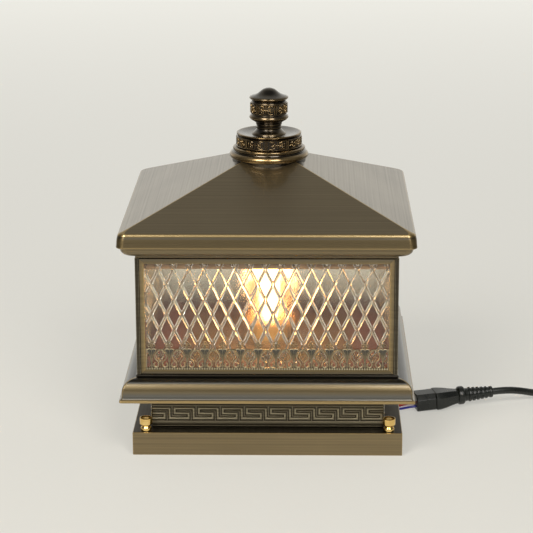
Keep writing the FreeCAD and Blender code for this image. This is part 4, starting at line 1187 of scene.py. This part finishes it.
def bead():
    """A low bead of a few faces, on the front of its rail."""
    bm = new_shape()
    sections = []
    for share in bead_shares:
        out = bead_r * math.sqrt(1 - share ** 2)
        sections.append([(x, -out, z) for x, z in circle((0, 0), bead_r * share, 8)])
    loft(bm, sections, 0.9)
    return bm


def make_cast_strips():
    """The four openwork strips in front of the foot of each pane."""
    low, high = span("cast_strip_front")
    half, back = high.x, high.y
    base = low.z + strip_rail
    opening = span("window_frame_front")[1].x - frame_side
    pitch = 2 * (opening - strip_margin) / (strip_count - 1)

    def place(u, v, h):
        return Vector((u, back - h, base + v))

    first = -(strip_count - 1) / 2 * pitch
    stems = copies(strip_stem(place), strip_count, "worn_bronze", (first, 0, 0), (pitch, 0, 0))
    lyres = copies(strip_lyre(place), strip_count - 1, "worn_bronze", (first + pitch / 2, 0, 0), (pitch, 0, 0))
    count = int(2 * (half - bead_r) / bead_pitch) + 1
    start = (-(count - 1) / 2 * bead_pitch, back - strip_back, base - strip_rail / 2)
    beads = copies(bead(), count, "worn_bronze", start, (bead_pitch, 0, 0))
    strip = joined(stems, lyres, beads)
    slab(strip, (-half, back - strip_back, low.z), (half, back, base + 0.1), 0.1)
    slab(strip, (-half, back - strip_back / 2, base + leaf_top + 0.1), (half, back, base + leaf_top + 0.8), 0.2)
    for side in (-1, 1):
        end = side * (half - strip_end)
        bar(strip, [(end, -0.5), (end, leaf_top + 1.0)], 1.1, 1.0, place, sink=0)
    finish_sides("ornament_", strip, "worn_bronze", "cast_strip_", sharp=50, even=False)


# Roof: its sizes, and the steps of its edge, which are
# (in from the lip, over the foot, off the corner radius, wear, greyed under 0, and wear on the corner, which on the
# fascia's rounded corners is a painted highlight)
roof_corner = 7.5
hip_round = 1.1
roof_wall = 1.4
roof_flat = 12.0
roof_slope = 0.3976
eave_half = 132.0
eave_height = 22.4
rod_hole = 3.4
under_r = 7.6
under_half = 125.0
soffit_half = 113.0
# Rows from 10.3 to 17.2 give the fascia's rounded corners 0.35 as a painted highlight.
roof_steps = (
    (1.2, 8.2, 0, 0.1, 0.3), (0.3, 8.75, 0, 0.4, 0.5), (0, 9.5, 0, 0.6, 0.6), (0.12, 10.3, 0, 0.1, 0.35),
    (0.3, 11.5, 0, 0, 0.35), (0.5, 14.6, 0, 0, 0.35), (0.8, 17.2, 0, 0, 0.35), (1.15, 18.4, 0, -0.5, 0),
    (1.3, 19.3, 0, -0.2, 0), (1.5, 20.2, 0, 0.25, 0.8), (2.0, 21.2, 0.4, 0.5, 0.9), (2.9, 22.0, 1.0, 0.25, 1),
)


def make_roof():
    """The pyramid roof with its moulded edge."""
    low, high = span("roof_fascia")
    lip, foot = high.x, low.z
    top = span("roof_shell")[1].z
    ceiling = top - roof_wall
    centre = (under_half, foot + under_r)
    profile = [(soffit_half, foot, 0.5, 0, 0)]
    profile += [(x, z, roof_corner, 0.05, 0.15) for x, z in arc(centre, under_r, -90, 0, 7)]
    for inward, height, less, wear_and_painted_light, corner_wear_and_highlight in roof_steps:
        profile.append((lip - inward, foot + height, roof_corner - less, wear_and_painted_light, corner_wear_and_highlight))
    for half, radius in (
        (eave_half, roof_corner - 2.4), (eave_half - 2.5, 3.0), (eave_half - 8, hip_round),
        (roof_flat, hip_round * 0.9),
    ):
        profile.append((half, foot + eave_height + (eave_half - half) * roof_slope, radius, 0.0, 0.9))
    profile += [
        (rod_hole, top, 0.1, 0, 0), (rod_hole, ceiling, 0.1, 0, 0), (roof_flat - roof_wall, ceiling, 0.1, 0, 0),
        (eave_half - 3.5, foot + eave_height - 0.1, 0.4, 0, 0),
        (lip - 3.0, foot + 19.0, 1.5, 0, 0),
        (lip - 1.9, foot + 10.5, 1.5, 0, 0),
    ]
    profile += [(x, z, 1.5, 0, 0) for x, z in arc(centre, under_r - roof_wall, 0, -90, 4)]
    profile.append((soffit_half, foot + roof_wall, 0.5, 0, 0))
    finish_piece("roof", square_sweep(profile), "roof", "antique_bronze", ["roof_shell", "roof_fascia"])


# Finial: outlines as (radius, height over the piece's foot or top, wear), and its scrolls' lines and sizes
collar_outline = (
    (32.2, 0.0, 0.2), (33.0, -0.3, 0.5), (34.1, -0.9, 0.7), (34.5, -1.9, 0.6), (34.3, -3.0, 0.2), (33.6, -3.9, 0.0),
    (33.9, -4.5, 0.0), (35.3, -5.0, 0.3), (36.8, -6.0, 0.8), (37.6, -7.4, 0.9), (37.7, -8.4, 0.8),
    (37.2, -9.7, 0.5), (36.2, -10.8, 0.1), (35.2, -11.4, 0.0), (35.0, -12.5, 0.0), (30.0, -12.5, 0.0),
    (18.0, -12.5, 0.0), (0.0, -12.5, 0.0),
)
disc_outline = (
    (30.0, 0.0, 0.1), (31.1, 0.25, 0.4), (31.5, 0.9, 0.6), (31.1, 1.5, 0.2), (30.3, 1.7, 0.0), (30.3, 9.3, 0.0),
    (30.9, 9.5, 0.2), (31.0, 10.0, 0.4), (30.4, 10.3, 0.1), (29.4, 10.6, 0.0), (29.5, 11.0, 0.0), (30.3, 11.4, 0.3),
    (30.8, 12.1, 0.7), (30.6, 12.9, 0.9), (29.6, 13.2, 0.6), (28.4, 13.1, 0.1), (24.0, 12.4, 0.0), (18.0, 11.6, 0.0),
    (0.0, 11.6, 0.0),
)
knob_outline = (
    (16.4, 0.0, 0.1), (16.3, 0.5, 0.3), (14.2, 1.9, 0.1), (12.6, 3.4, 0.0), (11.6, 5.0, 0.0), (11.9, 5.6, 0.2),
    (12.5, 6.1, 0.4), (12.4, 6.8, 0.2), (11.6, 7.3, 0.0), (11.5, 8.0, 0.0), (12.1, 8.6, 0.2), (12.4, 9.4, 0.3),
    (12.2, 10.0, 0.0), (12.9, 11.2, 0.0), (15.2, 12.7, 0.1), (17.4, 13.9, 0.3), (18.5, 15.3, 0.5), (18.6, 16.3, 0.5),
    (18.0, 17.6, 0.2), (16.9, 18.4, 0.0), (16.6, 18.9, 0.0), (17.0, 19.3, 0.2), (17.1, 19.8, 0.2), (16.9, 20.3, 0.0),
    (16.9, 29.3, 0.0), (17.2, 29.7, 0.2), (17.1, 30.4, 0.2), (16.4, 30.9, 0.0), (15.9, 31.5, 0.0), (16.2, 32.2, 0.0),
    (17.4, 33.1, 0.1), (18.4, 34.1, 0.3), (18.5, 34.8, 0.4), (18.1, 35.4, 0.3), (16.2, 36.1, 0.0), (13.6, 36.9, 0.0),
    (11.2, 38.0, 0.0), (9.2, 39.5, 0.0), (7.4, 41.0, 0.0), (5.4, 42.4, 0.0), (2.9, 43.3, 0.0), (0.0, 43.6, 0.0),
)
scroll_line = ((-7.4, -3.7), (-4.9, -4.0), (-2.8, -2.9), (-2.4, -1.2), (-3.8, -0.3), (-5.3, -1.2), (-4.6, -2.4))
hook_line = ((-7.6, -1.9), (-6.9, 0.0), (-7.6, 1.9))
cross_lines = (((-2.0, 0), (2.0, 0)), ((0, -3.4), (0, 3.4)))
scroll_pitch = 21.15
scroll_tall = 8.6
upright_at = 0.85
collar_gap = 0.3


def revolved(outline, foot, segments=96):
    """A solid of revolution from an outline that ends on the axis, with its foot at a height."""
    return lathe([(0, foot, 0)] + [(radius, foot + height, wear_and_painted_light) for radius, height, wear_and_painted_light in outline], segments)


def relief_unit(radius, pitch, middle, tall):
    """A pair of upright bars and the scrolls up to the next pair, on a drum."""
    bm = new_shape()
    centre = pitch / 2

    def place(u, v, h):
        angle, out = u / radius, radius + h
        return Vector((out * math.sin(angle), -out * math.cos(angle), middle + v))

    def fitted(line, x_side=1, z_side=1):
        return [(centre + x_side * x * pitch / scroll_pitch, z_side * z * tall / scroll_tall) for x, z in line]

    for side in (-1, 1):
        upright = [(side * upright_at, share * tall) for share in (-0.5, 0, 0.5)]
        bar(bm, upright, 1.0, 0.95, place, wear_and_painted_light=0.6)
    for x_side in (-1, 1):
        for z_side in (-1, 1):
            bar(bm, fitted(smooth_line(scroll_line, 3), x_side, z_side), 1.0, 1.0, place)
        bar(bm, fitted(smooth_line(hook_line, 3), x_side), 0.8, 0.8, place, wear_and_painted_light=0.6)
    for line in cross_lines:
        bar(bm, fitted(line), 1.0, 0.95, place)
    return bm


def make_collar():
    """The collar, whose foot follows the roof's slopes."""
    high = span("finial_collar")[1]
    bm = revolved(collar_outline, high.z)
    top = span("roof_shell")[1].z
    low = high.z + collar_outline[-1][1]
    for vert in bm.verts:
        if vert.co.z <= low + 0.01:
            over_roof = max(max(abs(vert.co.x), abs(vert.co.y)) - roof_flat, 0.0)
            vert.co.z = top - over_roof * roof_slope - collar_gap
    finish_piece("finial_base", bm, "roof", "dark_bronze", ["finial_collar"], is_round=True)


def make_ringed(name, stands_for, body, outline, count, radius, middle, tall, turn):
    """A turned piece of the finial with so many bars and scrolls round a drum."""
    foot = span(stands_for)[0].z
    unit = relief_unit(radius, 2 * math.pi * radius / count, foot + middle, tall)
    ring = turned(copies(unit, count, "dark_bronze", turn=360 / count), turn)
    whole = joined(revolved(outline, foot), ring)
    finish_piece(name, whole, body, "dark_bronze", [stands_for], is_round=True, sharp=48, even=False)


def make_disc():
    """The dished disc."""
    make_ringed(
        "finial_dish", "finial_disc", "roof", disc_outline, count=9, radius=30.3, middle=5.5, tall=7.6, turn=-4,
    )


def make_knob():
    """The knob with its dome, rim, patterned drum and waist."""
    make_ringed(
        "finial_top", "finial_knob", "finial", knob_outline, count=6, radius=16.9, middle=24.8, tall=8.8, turn=22,
    )


# Brass nut: radius and height over the box
nut_outline = (
    (4.9, 0.0), (5.2, 0.35), (5.15, 2.4), (4.9, 3.0), (4.1, 4.1), (3.95, 4.5), (4.15, 4.9), (5.4, 5.8), (5.8, 6.2),
    (5.9, 6.7), (5.9, 11.8), (5.75, 12.3), (5.4, 12.5), (4.9, 12.5), (4.65, 12.3), (4.6, 11.9), (4.6, 6.4),
    (3.1, 6.2), (0.0, 6.2),
)


def make_nuts():
    """The four turned nuts, each with its counterbore."""
    for corner in CORNERS:
        low, high = span("nut_" + corner)
        centre = (low + high) / 2
        bm = revolved([(radius, height, 0) for radius, height in nut_outline], low.z, 48)
        bmesh.ops.translate(bm, vec=(centre.x, centre.y, 0), verts=bm.verts)
        finish_piece("brass_" + corner, bm, "nut_" + corner, "polished_brass", ["nut_" + corner])


# Lead: the connector's place and turn, the coil, and the wires as (way, place in the notch, entry)
connector_at = Vector((142.5, 5.4, 8.5))
connector_yaw = 12.0
connector_pitch = 3.0
connector_length = 79.5
lead_d = 7.0
wire_d = 2.2
coil_centre = Vector((332.0, 91.5))
coil_r = 49.0
coil_pitch = 7.5
coil_layer = 7.5
coil_low = 4.5
coil_half_turns = 4
points_in_half_turn = 8
coil_share = 0.981
wires = {
    "red": (8.6, (2.2, 3.5), (-1.6, -1.0)),
    "white": (1.6, (1.8, 1.5), (1.8, -4.6)),
    "blue": (-5.4, (-0.8, 1.2), (-6.0, -3.8)),
}
block_x = 85.0
block_height = 7.0
notch_x = 125.0
wire_straight = 8.0
wire_bend_x = 108.0
wire_entry = 6.0
cord_steps = 6


def connector_axes():
    """The connector's direction, the direction to its left and its own up."""
    yaw, pitch = math.radians(connector_yaw), math.radians(connector_pitch)
    along = Vector((math.cos(pitch) * math.cos(yaw), math.cos(pitch) * math.sin(yaw), math.sin(pitch)))
    aside = Vector((-along.y, along.x, 0)).normalized()
    return along, aside, along.cross(aside)


def half_turn(start, radius, side, rise):
    """A coil's half turn from a start straight across to its far side, as points of its spline."""
    centre = start + Vector((0, side * radius, 0))
    wide = radius / coil_share
    points = []
    for step in range(points_in_half_turn):
        share = (step + 0.5) / points_in_half_turn
        angle = math.radians(-90 * side + 180 * share)
        points.append(centre + Vector((wide * math.cos(angle), wide * math.sin(angle), rise * share)))
    return points, start + Vector((0, 2 * side * radius, rise))


def coil_points():
    """The coil: half turns inwards, one that climbs, and half turns outwards again."""
    at = Vector((coil_centre.x, coil_centre.y - coil_r, coil_low))
    inwards = [(coil_r - step * coil_pitch / 2, 0.0) for step in range(coil_half_turns)]
    climb = (coil_r - coil_half_turns * coil_pitch / 2, coil_layer)
    last = (coil_r + coil_pitch / 2, 0.0)
    points = []
    side = 1
    for radius, rise in inwards + [climb] + inwards[::-1] + [last]:
        made, at = half_turn(at, radius, side, rise)
        points += made
        side = -side
    return points[:-(points_in_half_turn // 2)]


def lead_points():
    """The lead from the connector to the coil, round the coil and on to the plug."""
    along = connector_axes()[0]
    start = connector_at + along * connector_length
    tail = Vector((coil_centre.x - coil_r - coil_pitch / 2, coil_centre.y - coil_pitch / 2, coil_low + coil_layer))
    tail_from = tail + Vector((0, -lead_d, 0))
    return [
        start, start + along * 13.0, Vector((248.0, 29.5, 11.2)), Vector((262.0, 34.0, 7.4)),
        Vector((277.0, 38.6, 4.8)), Vector((300.0, 42.5, 4.5)), Vector((325.0, 42.5, 4.5)),
    ] + coil_points() + [
        tail, tail_from, tail_from + Vector((0, -16.0, 0)), tail_from + Vector((1.8, -38.0, 0.4)),
        tail_from + Vector((2.6, -62.0, 0.5)), tail_from + Vector((2.6, -84.0, 0.5)),
    ]


def spline(name, points, diameter, slot, body, stands_for):
    """A round cord on one smooth spline through its points."""
    curve = bpy.data.curves.new(name, "CURVE")
    curve.dimensions = "3D"
    curve.bevel_depth = diameter / 2 * MM
    curve.bevel_resolution = cord_steps
    curve.resolution_u = cord_steps
    curve.use_fill_caps = True
    line = curve.splines.new("NURBS")
    line.points.add(len(points) - 1)
    for spot, point in zip(line.points, points):
        spot.co = (*(point * MM), 1)
    line.order_u = 3
    line.use_endpoint_u = True
    curve.materials.append(finishes[slot])
    made = new_object(name, curve)
    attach(made, body)
    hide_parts(*stands_for)
    return made


def make_wires():
    """The three wires from the terminal block through the notch to the connector."""
    along, aside, above = connector_axes()
    for colour, (way, notch, entry) in wires.items():
        start = Vector((block_x, way, block_height))
        end = connector_at + aside * entry[0] + above * entry[1]
        points = [
            start, start + Vector((wire_straight, 0, 0)),
            Vector((wire_bend_x, (way + notch[0]) / 2, (block_height + notch[1]) / 2)),
            Vector((notch_x, *notch)), end - along * wire_entry, end,
        ]
        stands_for = ["supply_wire_" + colour]
        made = spline("wire_" + colour, points, wire_d, colour + "_insulation", "lantern", stands_for)


# Connector: sections as (along, width, height, cut off its upper corners), the relief's outline as
# (radius, along), and the relief's ribs
foot_cut = 1.4
nose_round = 0.35
nose_sections = (
    (0.0, 22.4, 14.8, 4.2), (0.8, 23.7, 16.0, 4.6), (19.2, 23.7, 16.0, 4.6), (20.0, 23.0, 15.4, 4.4),
)
grip_sections = (
    (19.6, 25.6, 15.6, 4.4), (20.4, 26.6, 16.4, 4.6), (24.0, 26.2, 16.3, 4.6), (30.0, 23.0, 15.4, 4.3),
    (36.0, 18.2, 14.0, 3.9), (41.0, 15.0, 12.8, 3.5), (44.0, 14.0, 12.4, 3.4),
)
relief_outline = (
    (0.0, 43.0), (6.4, 43.0), (8.0, 44.0), (8.8, 44.8), (9.1, 45.8), (9.1, 48.9), (8.8, 49.8), (7.9, 50.6),
    (6.8, 51.2), (6.5, 52.6), (6.2, 56.0), (5.0, 76.5), (5.6, 76.9), (5.7, 77.3), (5.7, 79.0), (5.4, 79.5),
    (0.0, 79.5),
)
rib_count = 5
rib_start = 55.0
rib_pitch = 4.25
rib_wide = 2.5
rib_core = 3.4
rib_r = 7.2
rib_taper = 0.33
rib_cut = 0.4
rib_reach = 74


def connector_section(x, width, height, top_cut):
    """Eight points across the connector, with its upper corners cut off."""
    half, high = width / 2, height / 2
    right = [(half - foot_cut, -high), (half, foot_cut - high), (half, high - top_cut), (half - top_cut, high)]
    return [(x, y, z) for y, z in right + [(-y, z) for y, z in reversed(right)]]


def add_rib(bm, index, middle):
    """A rib round half of the relief, with its middle at an angle in degrees."""
    x = rib_start + index * rib_pitch
    outer = rib_r - rib_taper * index
    outline = (
        (x, rib_core), (x + rib_wide, rib_core), (x + rib_wide, outer - rib_cut), (x + rib_wide - rib_cut, outer),
        (x + rib_cut, outer), (x, outer - rib_cut),
    )
    ways = arc((0, 0), 1, middle - rib_reach, middle + rib_reach, 12)
    loft(bm, [[(along, radius * c, radius * s) for along, radius in outline] for c, s in ways])


def connector_shape():
    """The moulded connector along +X: chamfered nose, waisted shoulder, grip and ribbed relief."""
    nose = new_shape()
    for sections in (nose_sections, grip_sections):
        loft(nose, [connector_section(*sizes) for sizes in sections])
    bevelled(nose, nose_round, least_angle=25, wear_and_painted_light=0.0)
    core = lathe([(radius, along, 0.0) for radius, along in relief_outline], 40)
    turned(core, 90, "Y")
    ribs = new_shape()
    for index in range(rib_count):
        for side in (0, 180):
            add_rib(ribs, index, side + (90 if index % 2 else 0))
    return joined(nose, core, ribs)


def make_connector():
    bm = connector_shape()
    axes = Matrix(connector_axes()).transposed().to_4x4()
    bmesh.ops.transform(bm, matrix=Matrix.Translation(connector_at) @ axes, verts=bm.verts)
    return finish_piece("connector", bm, "lantern", "black_plastic", ["connector_body"], sharp=32)


strap_round = 0.35
plug_round = 0.5
grommet_round = 0.3


def make_lead():
    """The lead with its connector, the coil's strap and the plug."""
    connector = make_connector()
    band = bevelled(copied("coil_tie"), strap_round)
    strap = finish_piece("strap", band, "lantern", "black_strap", ["coil_tie"])
    body = bevelled(copied("plug_body"), plug_round, least_angle=50)
    plug = finish_piece("plug", body, "lantern", "black_plastic", ["plug_body"])
    points = lead_points()
    lead = spline("lead", points, lead_d, "black_plastic", "lantern", ["mains_cable", "cable_coil", "plug_cable"])


def make_grommet():
    bm = bevelled(copied("cable_grommet"), grommet_round, wear_and_painted_light=0.0)
    finish_piece("grommet", bm, "lantern", "black_rubber", ["cable_grommet"])


def main():
    bpy.context.scene.view_settings.view_transform = "Standard"
    for make in (
        make_camera, make_lead, make_wires, make_lights, make_floor, dress_nodes, make_base_box, make_plinth,
        make_tray, make_pan, make_key_bands, make_window_frames, make_posts, make_head, make_panes,
        make_cast_strips, make_roof, make_collar, make_disc, make_knob, make_nuts, make_grommet,
    ):
        make()


finishes = make_materials()
tree_of_copies = copies_tree()
main()
